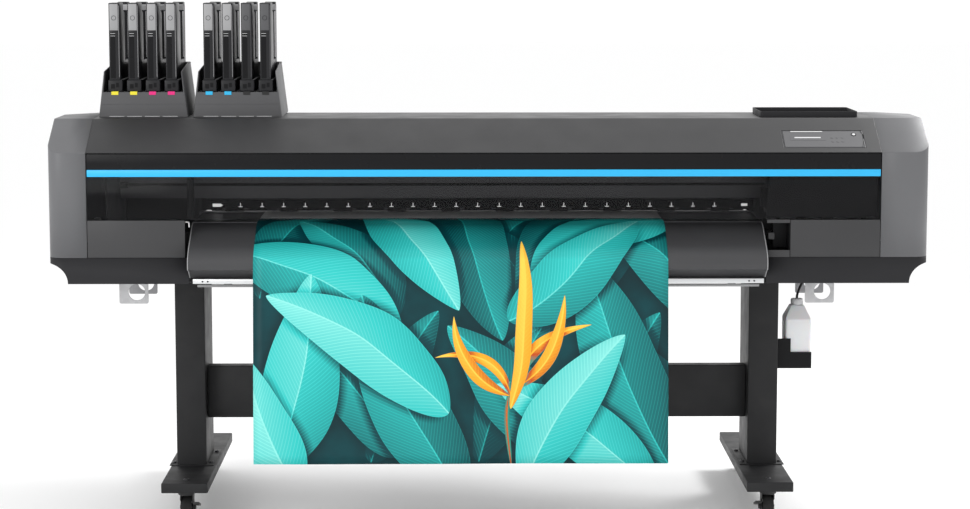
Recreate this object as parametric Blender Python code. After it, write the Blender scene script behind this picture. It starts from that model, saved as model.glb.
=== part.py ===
"""Large-format roll printer on a castered stand, as an assembly of named sub-parts.

Run with: blender --background --python part.py

Units are metres and +Z is up. X runs along the machine, to the right of somebody who
stands in front of it. Y runs from its front (-Y) to its back. The origin is on the floor
under the middle of the whole object, and the casters touch the floor at z = 0.
"""

import math

import bmesh
import bpy
from mathutils import Matrix, Vector

# ---------------------------------------------------------------- driving dimensions
GAP = 0.0003  # clearance between pieces that touch on the real machine
WALL = 0.003  # moulded covers
STEEL = 0.004  # folded steel of the stand and of the bed

END_X = {"left": 1.3510, "right": 1.3655}  # how far out each side cover reaches
HOOD_CENTRE = -0.0075  # the hood stands a little left of the middle
HOOD_HALF = 1.2225
SEAM_LEFT = HOOD_CENTRE - HOOD_HALF
SEAM_RIGHT = HOOD_CENTRE + HOOD_HALF
PRINT_LEFT = -0.9165  # ends of the platen and of its guides
PRINT_RIGHT = 0.8615

FRONT_Y = -0.4105
BACK_Y = 0.058  # back of the hood and of the side covers
SLOPE_TOP_Y = -0.240  # where the sloping front of the hood meets its flat top
CORNER_RADIUS = 0.047  # upright front corners of the side covers
BACK_CHAMFER = 0.097

UNDERSIDE_Z = 0.755
PANEL_Z = 0.836  # underside of the side covers and of the maintenance panels
COVER_Z = 0.9535  # bottom edge of the hinged front cover
WINDOW_TOP_Z = 1.0855
LIP_Z = 1.160  # foot of the slope, and hinge line of the front cover
COVER_TOP_Z = 1.157
HOOD_TOP_Z = 1.255

PLATE_WIDTH = 0.145  # floor plates of the stand
PLATE_DEPTH = 0.827
PLATE_BOTTOM_Z = 0.098
PLATE_TOP_Z = 0.129
STAND_CENTRE = -0.0285
PLATE_SPAN = 0.913  # from the middle of the stand to a floor plate's centre line
COLUMN_SPAN = 0.9195
COLUMN_WIDTH = 0.095
COLUMN_FRONT = -0.136
COLUMN_BACK = 0.100

PLATEN_Z = 0.9345
ROLLER_Y = 0.010
ROLLER_RADIUS = 0.012
MEDIA_LEFT = -0.715
MEDIA_RIGHT = 0.555
MEDIA_THICKNESS = 0.001
ROLL_Y = 0.455
ROLL_Z = 0.785
ROLL_RADIUS = 0.075
CORE_RADIUS = 0.038

# The surfaces that carry the media, as (y, z), from front to back.
FRONT_CURVE = [
    (-0.4725, 0.825),
    (-0.469, 0.838),
    (-0.4545, 0.8535),
    (-0.390, 0.893),
    (-0.335, 0.9245),
    (-0.301, 0.9335),
]
REAR_CURVE = [
    (0.0235, 0.9345),
    (0.100, 0.930),
    (0.200, 0.905),
    (0.265, 0.872),
]
HANGING_CURVE = [(-0.540, 0.215), (-0.524, 0.400), (-0.508, 0.550), (-0.490, 0.700)]

SLOPE = math.atan2(HOOD_TOP_Z - LIP_Z, SLOPE_TOP_Y - FRONT_Y)
SLOPE_UP = Vector((0, math.cos(SLOPE), math.sin(SLOPE)))
SLOPE_OUT = Vector((0, -math.sin(SLOPE), math.cos(SLOPE)))

CARRIAGE_X = 1.030  # parked over the capping station
CARRIAGE_HALF = 0.130
BUTTON_X = 1.1395
BUTTON_UP_SLOPE = 0.099

INK_COLOURS = ["yellow", "yellow", "magenta", "magenta", "cyan", "cyan", "black", "black"]
MODULE_CENTRES = {"left": -1.0815, "right": -0.7845}
MODULE_HALF = 0.1405
MODULE_FRONT = -0.165
MODULE_BACK = 0.115
CASSETTE_PITCH = 0.0593
SHELF_Z = 1.333
CASSETTE_TOP_Z = 1.613

BOTTLE_CENTRE = (1.0085, -0.052)
CAP_TOP_Z = 0.658  # top of the bottle's cap
TUBE_TOP_X = 1.0385
TUBE_RADIUS = 0.004
LIFT_HOLES = {"left": -1.1165, "right": 1.0785}
LIFT_CENTRES = {"left": -1.126, "right": 1.070}
LIFT_HOLE_Z = 0.692

FINISHES = {
    "dark_steel": ((0.020, 0.021, 0.023), 0.55, 0.2),
    "side_plastic": ((0.115, 0.118, 0.125), 0.45, 0.0),
    "hood_plastic": ((0.060, 0.061, 0.065), 0.40, 0.0),
    "black_plastic": ((0.012, 0.012, 0.014), 0.45, 0.0),
    "panel_plastic": ((0.045, 0.046, 0.050), 0.50, 0.0),
    "smoked_acrylic": ((0.010, 0.010, 0.012), 0.08, 0.0),
    "zinc_plate": ((0.600, 0.600, 0.600), 0.35, 1.0),
    "aluminium": ((0.650, 0.655, 0.660), 0.35, 1.0),
    "rubber": ((0.015, 0.015, 0.015), 0.85, 0.0),
    "printed_film": ((0.020, 0.330, 0.330), 0.35, 0.0),
    "white_film": ((0.850, 0.850, 0.850), 0.40, 0.0),
    "milky_plastic": ((0.780, 0.780, 0.770), 0.35, 0.0),
    "button_plastic": ((0.700, 0.700, 0.700), 0.35, 0.0),
}


# ---------------------------------------------------------------- modelling helpers
def clear_scene():
    for obj in list(bpy.data.objects):
        bpy.data.objects.remove(obj, do_unlink=True)


def finish_of(name):
    if name in bpy.data.materials:
        return bpy.data.materials[name]
    colour, roughness, metallic = FINISHES[name]
    made = bpy.data.materials.new(name)
    made.use_nodes = True
    made.diffuse_color = (*colour, 1)
    shader = made.node_tree.nodes["Principled BSDF"]
    shader.inputs["Base Color"].default_value = (*colour, 1)
    shader.inputs["Roughness"].default_value = roughness
    shader.inputs["Metallic"].default_value = metallic
    return made


def to_object(name, bm, finish, origin=(0, 0, 0)):
    """Makes an object of a mesh drawn in world coordinates, with its origin on the joint."""
    bmesh.ops.translate(bm, verts=bm.verts, vec=-Vector(origin))
    bmesh.ops.recalc_face_normals(bm, faces=bm.faces)
    mesh = bpy.data.meshes.new(name)
    bm.to_mesh(mesh)
    bm.free()
    mesh.materials.append(finish_of(finish))
    mesh.shade_smooth()
    mesh.set_sharp_from_angle(angle=math.radians(35))
    obj = bpy.data.objects.new(name, mesh)
    obj.location = origin
    bpy.context.scene.collection.objects.link(obj)
    return obj


def block(low, high):
    bm = bmesh.new()
    bmesh.ops.create_cube(bm, size=1)
    low = Vector(low)
    high = Vector(high)
    bmesh.ops.scale(bm, verts=bm.verts, vec=high - low)
    bmesh.ops.translate(bm, verts=bm.verts, vec=(low + high) / 2)
    return bm


def prism(outline, axis, start, end):
    """Extrudes a flat outline along X, Y or Z. Its points hold the two other coordinates."""
    places = {"X": (1, 2), "Y": (0, 2), "Z": (0, 1)}[axis]
    along = "XYZ".index(axis)
    bm = bmesh.new()
    corners = []
    for point in outline:
        place = [0.0, 0.0, 0.0]
        place[places[0]] = point[0]
        place[places[1]] = point[1]
        place[along] = start
        corners.append(bm.verts.new(place))
    face = bm.faces.new(corners)
    grown = bmesh.ops.extrude_face_region(bm, geom=[face])
    moved = [item for item in grown["geom"] if isinstance(item, bmesh.types.BMVert)]
    step = Vector((0, 0, 0))
    step[along] = end - start
    bmesh.ops.translate(bm, verts=moved, vec=step)
    return bm


def rod(axis, start, end, centre, radius, sides=20, top_radius=None):
    """A cylinder or a cone along an axis. The centre holds the two other coordinates."""
    bm = bmesh.new()
    bmesh.ops.create_cone(
        bm,
        cap_ends=True,
        segments=sides,
        radius1=radius,
        radius2=radius if top_radius is None else top_radius,
        depth=end - start,
    )
    turn = {
        "X": Matrix.Rotation(math.pi / 2, 3, "Y"),
        "Y": Matrix.Rotation(-math.pi / 2, 3, "X"),
        "Z": Matrix.Identity(3),
    }[axis]
    bmesh.ops.rotate(bm, verts=bm.verts, matrix=turn, cent=(0, 0, 0))
    places = {"X": (1, 2), "Y": (0, 2), "Z": (0, 1)}[axis]
    shift = [0.0, 0.0, 0.0]
    shift[places[0]] = centre[0]
    shift[places[1]] = centre[1]
    shift["XYZ".index(axis)] = (start + end) / 2
    bmesh.ops.translate(bm, verts=bm.verts, vec=shift)
    return bm


def offset_line(points, distance):
    """Moves a polyline to its left by a distance, with mitred corners."""
    points = [Vector(point) for point in points]
    normals = []
    for here, there in zip(points, points[1:]):
        along = (there - here).normalized()
        normals.append(Vector((-along.y, along.x)))
    moved = []
    for index, point in enumerate(points):
        before = normals[max(index - 1, 0)]
        after = normals[min(index, len(normals) - 1)]
        mitre = (before + after).normalized()
        moved.append(tuple(point + mitre * (distance / mitre.dot(after))))
    return moved


def folded_sheet(points, inner, outer):
    """The closed outline of a sheet that lies between two distances left of a polyline."""
    return offset_line(points, inner) + offset_line(points, outer)[::-1]


def arc(centre, radius, start, end, steps):
    """Points on an arc between two angles in degrees."""
    points = []
    for step in range(steps + 1):
        angle = math.radians(start + (end - start) * step / steps)
        points.append((centre[0] + radius * math.cos(angle), centre[1] + radius * math.sin(angle)))
    return points


def helper(name, bm):
    """A cutter or an addition, which isn't a sub-part of its own."""
    obj = to_object(name, bm, "zinc_plate")
    obj.hide_render = True
    obj.display_type = "WIRE"
    return obj


def combine(obj, other, operation):
    modifier = obj.modifiers.new(other.name, "BOOLEAN")
    modifier.operation = operation
    modifier.solver = "EXACT"
    modifier.object = other


def cut(obj, name, bm):
    combine(obj, helper(name, bm), "DIFFERENCE")


def join(obj, name, bm):
    combine(obj, helper(name, bm), "UNION")


def mirrored_outline(outline, side):
    """Turns an outline of the right-hand end, in (x, y) or (x, z), to the left-hand one."""
    if side == "right":
        return outline
    return [(-x, other) for x, other in reversed(outline)]


# ---------------------------------------------------------------- stand
def make_floor_plates():
    for side, sign in (("left", -1), ("right", 1)):
        x = STAND_CENTRE + sign * PLATE_SPAN
        half = PLATE_WIDTH / 2
        front = -PLATE_DEPTH / 2 - 0.0015
        back = front + PLATE_DEPTH
        plate = to_object(
            f"{side}_base_plate",
            block((x - half, front, PLATE_BOTTOM_Z), (x + half, back, PLATE_TOP_Z)),
            "dark_steel",
        )
        hollow = block(
            (x - half + STEEL, front + STEEL, PLATE_BOTTOM_Z - 0.01),
            (x + half - STEEL, back - STEEL, PLATE_TOP_Z - STEEL),
        )
        cut(plate, f"{side}_base_plate_hollow", hollow)


def make_columns():
    for side, sign in (("left", -1), ("right", 1)):
        x = STAND_CENTRE + sign * COLUMN_SPAN
        half = COLUMN_WIDTH / 2
        column = to_object(
            f"{side}_column",
            block(
                (x - half, COLUMN_FRONT, PLATE_TOP_Z + GAP),
                (x + half, COLUMN_BACK, UNDERSIDE_Z - GAP),
            ),
            "dark_steel",
        )
        hollow = block(
            (x - half + WALL, COLUMN_FRONT + WALL, PLATE_TOP_Z + STEEL),
            (x + half - WALL, COLUMN_BACK - WALL, UNDERSIDE_Z + 0.01),
        )
        cut(column, f"{side}_column_hollow", hollow)


def make_cross_beam():
    front = -0.075
    back = -0.020
    bottom = 0.274
    top = 0.443
    outline = folded_sheet([(back, top), (front, top), (front, bottom), (back, bottom)], 0, WALL)
    inner = COLUMN_SPAN - COLUMN_WIDTH / 2 - GAP
    to_object(
        "cross_beam",
        prism(outline, "X", STAND_CENTRE - inner, STAND_CENTRE + inner),
        "dark_steel",
    )


def make_lifting_brackets():
    """Two plates with a hole each, hung under the body, that take a lifting pole."""
    front = -0.132
    back = 0.104
    bottom = 0.655
    top = UNDERSIDE_Z - GAP
    for side, centre in LIFT_CENTRES.items():
        outline = folded_sheet(
            [(front, bottom), (front, top), (back, top), (back, bottom)], 0, -STEEL
        )
        bracket = to_object(
            f"{side}_lifting_bracket",
            prism(outline, "X", centre - 0.0465, centre + 0.0465),
            "zinc_plate",
        )
        pole = rod("Y", front - 0.02, back + 0.02, (LIFT_HOLES[side], LIFT_HOLE_Z), 0.0265, 24)
        cut(bracket, f"{side}_lifting_hole", pole)
        if side == "right":
            place = (TUBE_TOP_X, BOTTLE_CENTRE[1])
            cut(bracket, "waste_tube_hole", rod("Z", 0.72, 0.78, place, TUBE_RADIUS + 0.003, 16))


def make_casters():
    """A swivelling fork, its wheel and, on the two front ones, a side brake lever."""
    radius = 0.0375
    trail = 0.028
    pivots = {"front": -0.360, "rear": 0.357}
    for end, y in pivots.items():
        for side, sign in (("left", -1), ("right", 1)):
            x = STAND_CENTRE + sign * PLATE_SPAN
            axle_y = y + trail
            inward = -sign
            shell = [
                (x - 0.0205, 0.028),
                (x - 0.0205, 0.0855),
                (x + 0.0205, 0.0855),
                (x + 0.0205, 0.028),
            ]
            fork = to_object(
                f"{end}_{side}_caster_fork",
                prism(folded_sheet(shell, 0, -WALL), "Y", axle_y - 0.030, axle_y + 0.014),
                "black_plastic",
                (x, y, 0.09),
            )
            name = f"{end}_{side}_caster"
            head = rod("Z", 0.082, PLATE_BOTTOM_Z - 0.002, (x, y), 0.026, 16)
            join(fork, f"{name}_head", head)
            stem = rod("Z", 0.090, PLATE_TOP_Z - STEEL - GAP, (x, y), 0.010, 12)
            join(fork, f"{name}_stem", stem)
            wheel = rod("X", x - 0.0165, x + 0.0165, (axle_y, radius), radius, 24)
            rims = [
                edge
                for edge in wheel.edges
                if abs(edge.verts[0].co.x - edge.verts[1].co.x) < 1e-5
            ]
            bmesh.ops.bevel(
                wheel, geom=rims, offset=0.004, segments=2, profile=0.5, affect="EDGES", material=-1
            )
            to_object(f"{name}_wheel", wheel, "rubber", (x, axle_y, radius))
            if end == "rear":
                continue
            inner_face = 0.0205 + GAP
            ends = sorted((x + inward * inner_face, x + inward * (inner_face + 0.006)))
            lever = to_object(
                f"{side}_brake_lever",
                rod("X", ends[0], ends[1], (axle_y, radius), 0.011, 12),
                "black_plastic",
                (x, axle_y, radius),
            )
            reach = sorted((x + inward * (inner_face + 0.001), x + inward * (inner_face + 0.022)))
            pedal = prism(
                [
                    (axle_y + 0.004, radius + 0.002),
                    (axle_y + 0.004, radius + 0.010),
                    (axle_y - 0.048, radius + 0.026),
                    (axle_y - 0.050, radius + 0.017),
                ],
                "X",
                reach[0],
                reach[1],
            )
            join(lever, f"{side}_brake_pedal", pedal)


# ---------------------------------------------------------------- body
def make_bed_frame():
    """A steel hat channel with a rail for the roll holders and an upright plate at each end."""
    line = [
        (-0.380, 0.795),
        (-0.380, 0.7585),
        (-0.250, 0.7585),
        (-0.250, 0.8957),
        (0.100, 0.8957),
        (0.100, 0.7585),
        (0.360, 0.7585),
        (0.360, 0.790),
    ]
    left = -1.180
    right = 1.165
    frame = to_object(
        "bed_frame", prism(folded_sheet(line, 0, STEEL), "X", left, right), "dark_steel"
    )
    for name, x in (("left", left), ("right", right - STEEL)):
        upright = block((x, -0.340, 0.760), (x + STEEL, 0.052, 1.120))
        join(frame, f"bed_frame_{name}_upright", upright)
    rail_end = 0.960
    for name, near, far in (("left", left - 0.1, -rail_end), ("right", rail_end - 0.05, right + 0.1)):
        corner = block((near, 0.262, 0.70), (far, 0.40, 0.85))
        cut(frame, f"bed_frame_{name}_corner", corner)


def end_outline(side, inset, inner_x):
    """Plan of an end of the body: rounded front corner and a chamfered back corner."""
    outer = END_X[side] - inset
    front = FRONT_Y + inset
    back = BACK_Y - inset
    radius = CORNER_RADIUS - inset
    outline = [(inner_x, front)]
    outline += arc((outer - radius, front + radius), radius, -90, 0, 5)
    slant = BACK_CHAMFER - inset * (2 - math.sqrt(2))
    outline += [(outer, back - slant), (outer - slant, back), (inner_x, back)]
    return mirrored_outline(outline, side)


def make_side_covers():
    for side, seam in (("left", -SEAM_LEFT), ("right", SEAM_RIGHT)):
        pieces = []
        for name, inset, start in (("shell", 0, seam + GAP), ("hollow", WALL, seam - 0.05)):
            bottom = PANEL_Z + GAP if inset == 0 else PANEL_Z - 0.02
            bm = prism(end_outline(side, inset, start), "Z", bottom, HOOD_TOP_Z - inset)
            foot = Vector((0, FRONT_Y, LIP_Z)) - SLOPE_OUT * inset
            bmesh.ops.bisect_plane(
                bm,
                geom=bm.verts[:] + bm.edges[:] + bm.faces[:],
                plane_co=foot,
                plane_no=SLOPE_OUT,
                clear_outer=True,
            )
            open_edges = [edge for edge in bm.edges if edge.is_boundary]
            bmesh.ops.holes_fill(bm, edges=open_edges)
            pieces.append((name, bm))
        cover = to_object(f"{side}_side_cover", pieces[0][1], "side_plastic")
        cut(cover, f"{side}_side_cover_hollow", pieces[1][1])


def make_bottom_covers():
    """The skirt under each end of the body, with a concave outer end."""
    radius = 0.060
    for side, inner in (("left", -PRINT_LEFT), ("right", PRINT_RIGHT)):
        sign = -1 if side == "left" else 1
        skirt = to_object(
            f"{side}_bottom_cover",
            prism(end_outline(side, 0, inner + 0.001), "Z", UNDERSIDE_Z, PANEL_Z - GAP),
            "panel_plastic",
        )
        inside = prism(
            end_outline(side, WALL, inner - 0.05), "Z", UNDERSIDE_Z + WALL, PANEL_Z + 0.05
        )
        for vertex in inside.verts:
            if vertex.co.y > BACK_Y - WALL - 1e-4:
                vertex.co.y += 0.05
        cavity = helper(f"{side}_bottom_cover_hollow", inside)
        centre = (sign * END_X[side], UNDERSIDE_Z + 0.001)
        wide = rod("Y", -0.60, 0.30, centre, radius + WALL, 32)
        cut(cavity, f"{side}_bottom_cover_inner_curve", wide)
        combine(skirt, cavity, "DIFFERENCE")
        curve = rod("Y", -0.60, 0.30, centre, radius, 32)
        cut(skirt, f"{side}_bottom_cover_outer_curve", curve)


def make_top_hood():
    line = [
        (FRONT_Y, LIP_Z + 2 * GAP),
        (SLOPE_TOP_Y, HOOD_TOP_Z),
        (BACK_Y, HOOD_TOP_Z),
        (BACK_Y, LIP_Z),
    ]
    outline = folded_sheet(line, 0, -WALL)
    hood = to_object(
        "top_hood", prism(outline, "X", SEAM_LEFT + GAP, SEAM_RIGHT - GAP), "hood_plastic"
    )
    cut(hood, "control_panel_cutout", panel_block(0.001, -0.02, 0.02))


def panel_block(margin, low, high):
    """A block that lies along the slope of the hood, where the control panel sits."""
    left = 0.9175
    right = 1.1685
    bottom = 0.026
    top = 0.122
    bm = block((left - margin, bottom - margin, low), (right + margin, top + margin, high))
    bmesh.ops.rotate(bm, verts=bm.verts, cent=(0, 0, 0), matrix=Matrix.Rotation(SLOPE, 3, "X"))
    bmesh.ops.translate(bm, verts=bm.verts, vec=(0, FRONT_Y, LIP_Z + GAP))
    return bm


def button_rod(radius, low, high):
    """A rod square to the slope, at the power button, between two heights above the slope."""
    bm = rod("Z", low, high, (0, 0), radius, 20)
    bmesh.ops.rotate(bm, verts=bm.verts, cent=(0, 0, 0), matrix=Matrix.Rotation(SLOPE, 3, "X"))
    bmesh.ops.translate(bm, verts=bm.verts, vec=button_place())
    return bm


def button_place():
    return Vector((BUTTON_X, FRONT_Y, LIP_Z + GAP)) + SLOPE_UP * BUTTON_UP_SLOPE


def make_control_panel():
    panel = to_object("control_panel", panel_block(0, -0.010, 0.0008), "hood_plastic")
    cut(panel, "power_button_hole", button_rod(0.0058, -0.006, 0.010))
    to_object("power_button", button_rod(0.0052, -0.0035, 0.0022), "button_plastic", button_place())


def make_rear_cover():
    """The electronics cover at the back, cut out in the middle where the media goes in."""
    left = -1.200
    right = 1.185
    front = BACK_Y + 0.0005
    bottom = 0.800
    top = 1.235
    outline = [(front, bottom), (front, top), (0.170, top), (0.250, 1.120), (0.250, bottom)]
    cover = to_object("rear_cover", prism(outline, "X", left, right), "hood_plastic")
    inside = [
        (front - 0.02, bottom - 0.02),
        (front - 0.02, top - WALL),
        (0.1685, top - WALL),
        (0.250 - WALL, 1.119),
        (0.250 - WALL, bottom - 0.02),
    ]
    cut(cover, "rear_cover_hollow", prism(inside, "X", left + WALL, right - WALL))
    feed = block((PRINT_LEFT - 0.014, 0.0, 0.70), (PRINT_RIGHT + 0.014, 0.30, 0.985))
    cut(cover, "rear_cover_media_opening", feed)
    inlet = block((-1.150, 0.250 + GAP, 0.820), (-1.098, 0.264, 0.852))
    to_object("power_inlet", inlet, "black_plastic")


def make_front_cover():
    """The hinged cover: a black rail along its top and a smoked window under it."""
    left = SEAM_LEFT + 0.002
    right = SEAM_RIGHT - 0.002
    hinge = (HOOD_CENTRE, FRONT_Y, LIP_Z)
    to_object(
        "front_cover",
        block((left, FRONT_Y, WINDOW_TOP_Z + GAP), (right, FRONT_Y + 0.012, COVER_TOP_Z)),
        "black_plastic",
        hinge,
    )
    to_object(
        "cover_window",
        block((left, FRONT_Y + GAP, COVER_Z), (right, FRONT_Y + GAP + 0.004, WINDOW_TOP_Z)),
        "smoked_acrylic",
        hinge,
    )


def make_maintenance_panels():
    spans = {"left": (SEAM_LEFT + 0.0015, -0.9285), "right": (0.9365, SEAM_RIGHT - 0.0015)}
    for side, (left, right) in spans.items():
        to_object(
            f"{side}_maintenance_panel",
            block((left, FRONT_Y, PANEL_Z + 0.0005), (right, FRONT_Y + 0.004, COVER_Z - 0.0015)),
            "panel_plastic",
            ((left + right) / 2, FRONT_Y, PANEL_Z + 0.0005),
        )


# ---------------------------------------------------------------- media path
def make_platen():
    back = -0.0105
    front = -0.2995
    line = [(front, 0.9002), (front, PLATEN_Z), (back, PLATEN_Z), (back, 0.9002)]
    to_object(
        "platen",
        prism(folded_sheet(line, 0, -0.0045), "X", PRINT_LEFT, PRINT_RIGHT),
        "aluminium",
    )


def make_guides():
    turned_back = [(-0.405, 0.773), (-0.452, 0.8015), (-0.470, 0.806)]
    front = folded_sheet(turned_back + FRONT_CURVE, 0, -WALL)
    to_object("front_guide", prism(front, "X", PRINT_LEFT, PRINT_RIGHT), "panel_plastic")
    turned_down = [(0.300, 0.835), (0.318, 0.790), (0.320, 0.765)]
    rear = folded_sheet(REAR_CURVE + turned_down, 0, -WALL)
    to_object("rear_guide", prism(rear, "X", PRINT_LEFT, PRINT_RIGHT), "panel_plastic")
    strip = block((-0.905, -0.424, 0.757), (0.855, -0.4045, 0.7715))
    to_object("guide_strip", strip, "aluminium")


def make_feed_roller():
    axle = (ROLLER_Y, PLATEN_Z - ROLLER_RADIUS)
    to_object(
        "feed_roller",
        rod("X", PRINT_LEFT - 0.010, PRINT_RIGHT + 0.010, axle, ROLLER_RADIUS, 20),
        "aluminium",
        (HOOD_CENTRE, *axle),
    )


def make_pressure_bar():
    """The bar over the feed roller, with its row of pinch rollers."""
    left = -0.900
    right = 0.850
    line = [(0.050, 0.978), (-0.018, 0.978), (-0.018, 0.950), (0.050, 0.950)]
    bar = to_object(
        "pressure_bar",
        prism(folded_sheet(line, 0, WALL), "X", left, right),
        "black_plastic",
        (HOOD_CENTRE, ROLLER_Y, 0.950),
    )
    radius = 0.009
    axis_z = PLATEN_Z + 2 * GAP + MEDIA_THICKNESS + GAP + radius
    count = 10
    for index in range(count):
        middle = left + (right - left) * (index + 0.5) / count
        pinch = rod("X", middle - 0.030, middle + 0.030, (ROLLER_Y, axis_z), radius, 12)
        join(bar, f"pinch_roller_{index + 1}", pinch)


def make_pressure_lever():
    """The lever beside the print area that lifts the pressure bar."""
    pivot = (0.880, -0.300, 0.900)
    lever = to_object(
        "pressure_lever",
        prism(
            [(-0.290, 0.893), (-0.290, 0.907), (-0.385, 0.904), (-0.385, 0.894)],
            "X",
            0.877,
            0.883,
        ),
        "black_plastic",
        pivot,
    )
    join(lever, "pressure_lever_boss", rod("X", 0.873, 0.887, (pivot[1], pivot[2]), 0.011, 16))
    join(lever, "pressure_lever_grip", block((0.870, -0.398, 0.889), (0.890, -0.380, 0.911)))


def media_line():
    """The surface that the media lies on, from its hanging end to the supply roll."""
    over_platen = [(-0.2995, PLATEN_Z), (-0.0105, PLATEN_Z)]
    roll_top = [(ROLL_Y, ROLL_Z + ROLL_RADIUS)]
    return HANGING_CURVE + FRONT_CURVE + over_platen + REAR_CURVE + roll_top


def make_media():
    outline = folded_sheet(media_line(), GAP, GAP + MEDIA_THICKNESS)
    to_object("printed_media", prism(outline, "X", MEDIA_LEFT, MEDIA_RIGHT), "printed_film")
    centre = (ROLL_Y, ROLL_Z)
    roll = to_object(
        "media_roll",
        rod("X", MEDIA_LEFT, MEDIA_RIGHT, centre, ROLL_RADIUS, 32),
        "white_film",
        (HOOD_CENTRE, ROLL_Y, ROLL_Z),
    )
    core = rod("X", MEDIA_LEFT - 0.01, MEDIA_RIGHT + 0.01, centre, CORE_RADIUS, 24)
    cut(roll, "media_roll_core_bore", core)


def make_roll_holders():
    plate = [
        (0.3605, 0.735),
        (0.460, 0.715),
        (0.520, 0.742),
        (0.540, 0.785),
        (0.520, 0.828),
        (0.460, 0.850),
        (0.405, 0.838),
        (0.3605, 0.800),
    ]
    faces = {"left": (MEDIA_LEFT - 0.0045, -1), "right": (MEDIA_RIGHT + 0.0045, 1)}
    for side, (face, outward) in faces.items():
        span = sorted((face, face + outward * 0.024))
        holder = to_object(
            f"{side}_roll_holder",
            prism(plate, "X", span[0], span[1]),
            "black_plastic",
            (face, ROLL_Y, ROLL_Z),
        )
        reach = sorted((face + outward * 0.010, face - outward * 0.050))
        hub = rod("X", reach[0], reach[1], (ROLL_Y, ROLL_Z), CORE_RADIUS - 0.002, 24)
        join(holder, f"{side}_roll_hub", hub)


# ---------------------------------------------------------------- print mechanism
def make_rail_beam():
    """The beam over the platen, a channel open at the back, with the slide rail on its face."""
    outline = [
        (0.050, 0.985),
        (-0.040, 0.985),
        (-0.040, 1.048),
        (-0.052, 1.048),
        (-0.052, 1.064),
        (-0.040, 1.064),
        (-0.040, 1.105),
        (0.050, 1.105),
        (0.050, 1.100),
        (-0.035, 1.100),
        (-0.035, 0.990),
        (0.050, 0.990),
    ]
    to_object("rail_beam", prism(outline, "X", -1.1755, 1.1605), "aluminium")


def make_carriage():
    """The head carriage, open at the back where it takes the rail, and its sheet cutter."""
    left = CARRIAGE_X - CARRIAGE_HALF
    right = CARRIAGE_X + CARRIAGE_HALF
    carriage = to_object(
        "print_carriage",
        block((left, -0.300, 0.942), (right, -0.0530, 1.145)),
        "black_plastic",
        (CARRIAGE_X, -0.058, 1.056),
    )
    inside = block((left + 0.005, -0.295, 0.975), (right - 0.005, 0.0, 1.140))
    cut(carriage, "print_carriage_hollow", inside)
    x = left - 0.0145
    holder = to_object(
        "cutter_holder",
        block((x - 0.014, -0.200, 0.968), (x + 0.014, -0.160, 1.030)),
        "black_plastic",
        (x, -0.180, 0.968),
    )
    join(holder, "cutter_blade", rod("Z", 0.950, 0.975, (x, -0.180), 0.003, 10, 0.006))


def make_capping_station():
    station = to_object(
        "capping_station",
        block((0.905, -0.330, 0.9002), (1.150, -0.060, 0.9405)),
        "panel_plastic",
    )
    basin = block((0.910, -0.325, 0.908), (1.145, -0.065, 0.95))
    cut(station, "capping_station_basin", basin)


# ---------------------------------------------------------------- on top of the hood
def make_tool_tray():
    floor = HOOD_TOP_Z + GAP
    tray = to_object(
        "tool_tray",
        block((0.8645, -0.205, floor), (1.1705, 0.020, floor + 0.018)),
        "panel_plastic",
    )
    well = block((0.8675, -0.202, floor + 0.003), (1.1675, 0.017, floor + 0.03))
    cut(tray, "tool_tray_well", well)


def make_ink_supply():
    """Two modules with four sockets each, and the cassette that stands in every socket."""
    base = HOOD_TOP_Z + GAP
    number = 0
    for side, centre in MODULE_CENTRES.items():
        left = centre - MODULE_HALF
        right = centre + MODULE_HALF
        wall_top = 1.418
        outline = [
            (left, base),
            (left + 0.020, wall_top),
            (right - 0.020, wall_top),
            (right, base),
        ]
        module = to_object(
            f"{side}_ink_module",
            prism(outline, "Y", MODULE_FRONT, MODULE_BACK),
            "panel_plastic",
        )
        well = [
            (left + 0.014, SHELF_Z),
            (left + 0.024, wall_top + 0.02),
            (right - 0.024, wall_top + 0.02),
            (right - 0.014, SHELF_Z),
        ]
        hollow = prism(well, "Y", MODULE_FRONT - 0.02, MODULE_BACK - 0.008)
        cut(module, f"{side}_ink_module_well", hollow)
        under = block(
            (left + 0.005, MODULE_FRONT + 0.005, base - 0.01),
            (right - 0.005, MODULE_BACK - 0.005, 1.275),
        )
        cut(module, f"{side}_ink_module_underside", under)
        for slot in range(4):
            x = centre + (slot - 1.5) * CASSETTE_PITCH
            socket = block((x - 0.012, -0.110, 1.285), (x + 0.012, 0.080, SHELF_Z + 0.01))
            cut(module, f"{side}_ink_socket_{slot + 1}", socket)
            make_cassette(number, x)
            number += 1


def make_cassette(number, x):
    """A tall narrow case with a wide foot, and a spout block that goes down into its socket."""
    foot = SHELF_Z + GAP
    front = MODULE_FRONT + 0.010
    back = MODULE_BACK - 0.012
    shoulder = foot + 0.038
    outline = [
        (x - 0.023, foot),
        (x + 0.023, foot),
        (x + 0.023, shoulder - 0.004),
        (x + 0.017, shoulder),
        (x + 0.017, CASSETTE_TOP_Z),
        (x - 0.017, CASSETTE_TOP_Z),
        (x - 0.017, shoulder),
        (x - 0.023, shoulder - 0.004),
    ]
    colour = INK_COLOURS[number]
    cassette = to_object(
        f"ink_cassette_{number + 1}_{colour}",
        prism(outline, "Y", front, back),
        "black_plastic",
        (x, 0, foot),
    )
    name = f"ink_cassette_{number + 1}"
    spout = block((x - 0.0105, -0.105, 1.288), (x + 0.0105, 0.075, foot + 0.01))
    join(cassette, f"{name}_spout", spout)
    notch = block(
        (x - 0.03, back - 0.075, CASSETTE_TOP_Z - 0.030),
        (x + 0.03, back - 0.022, CASSETTE_TOP_Z + 0.01),
    )
    cut(cassette, f"{name}_grip_notch", notch)


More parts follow.
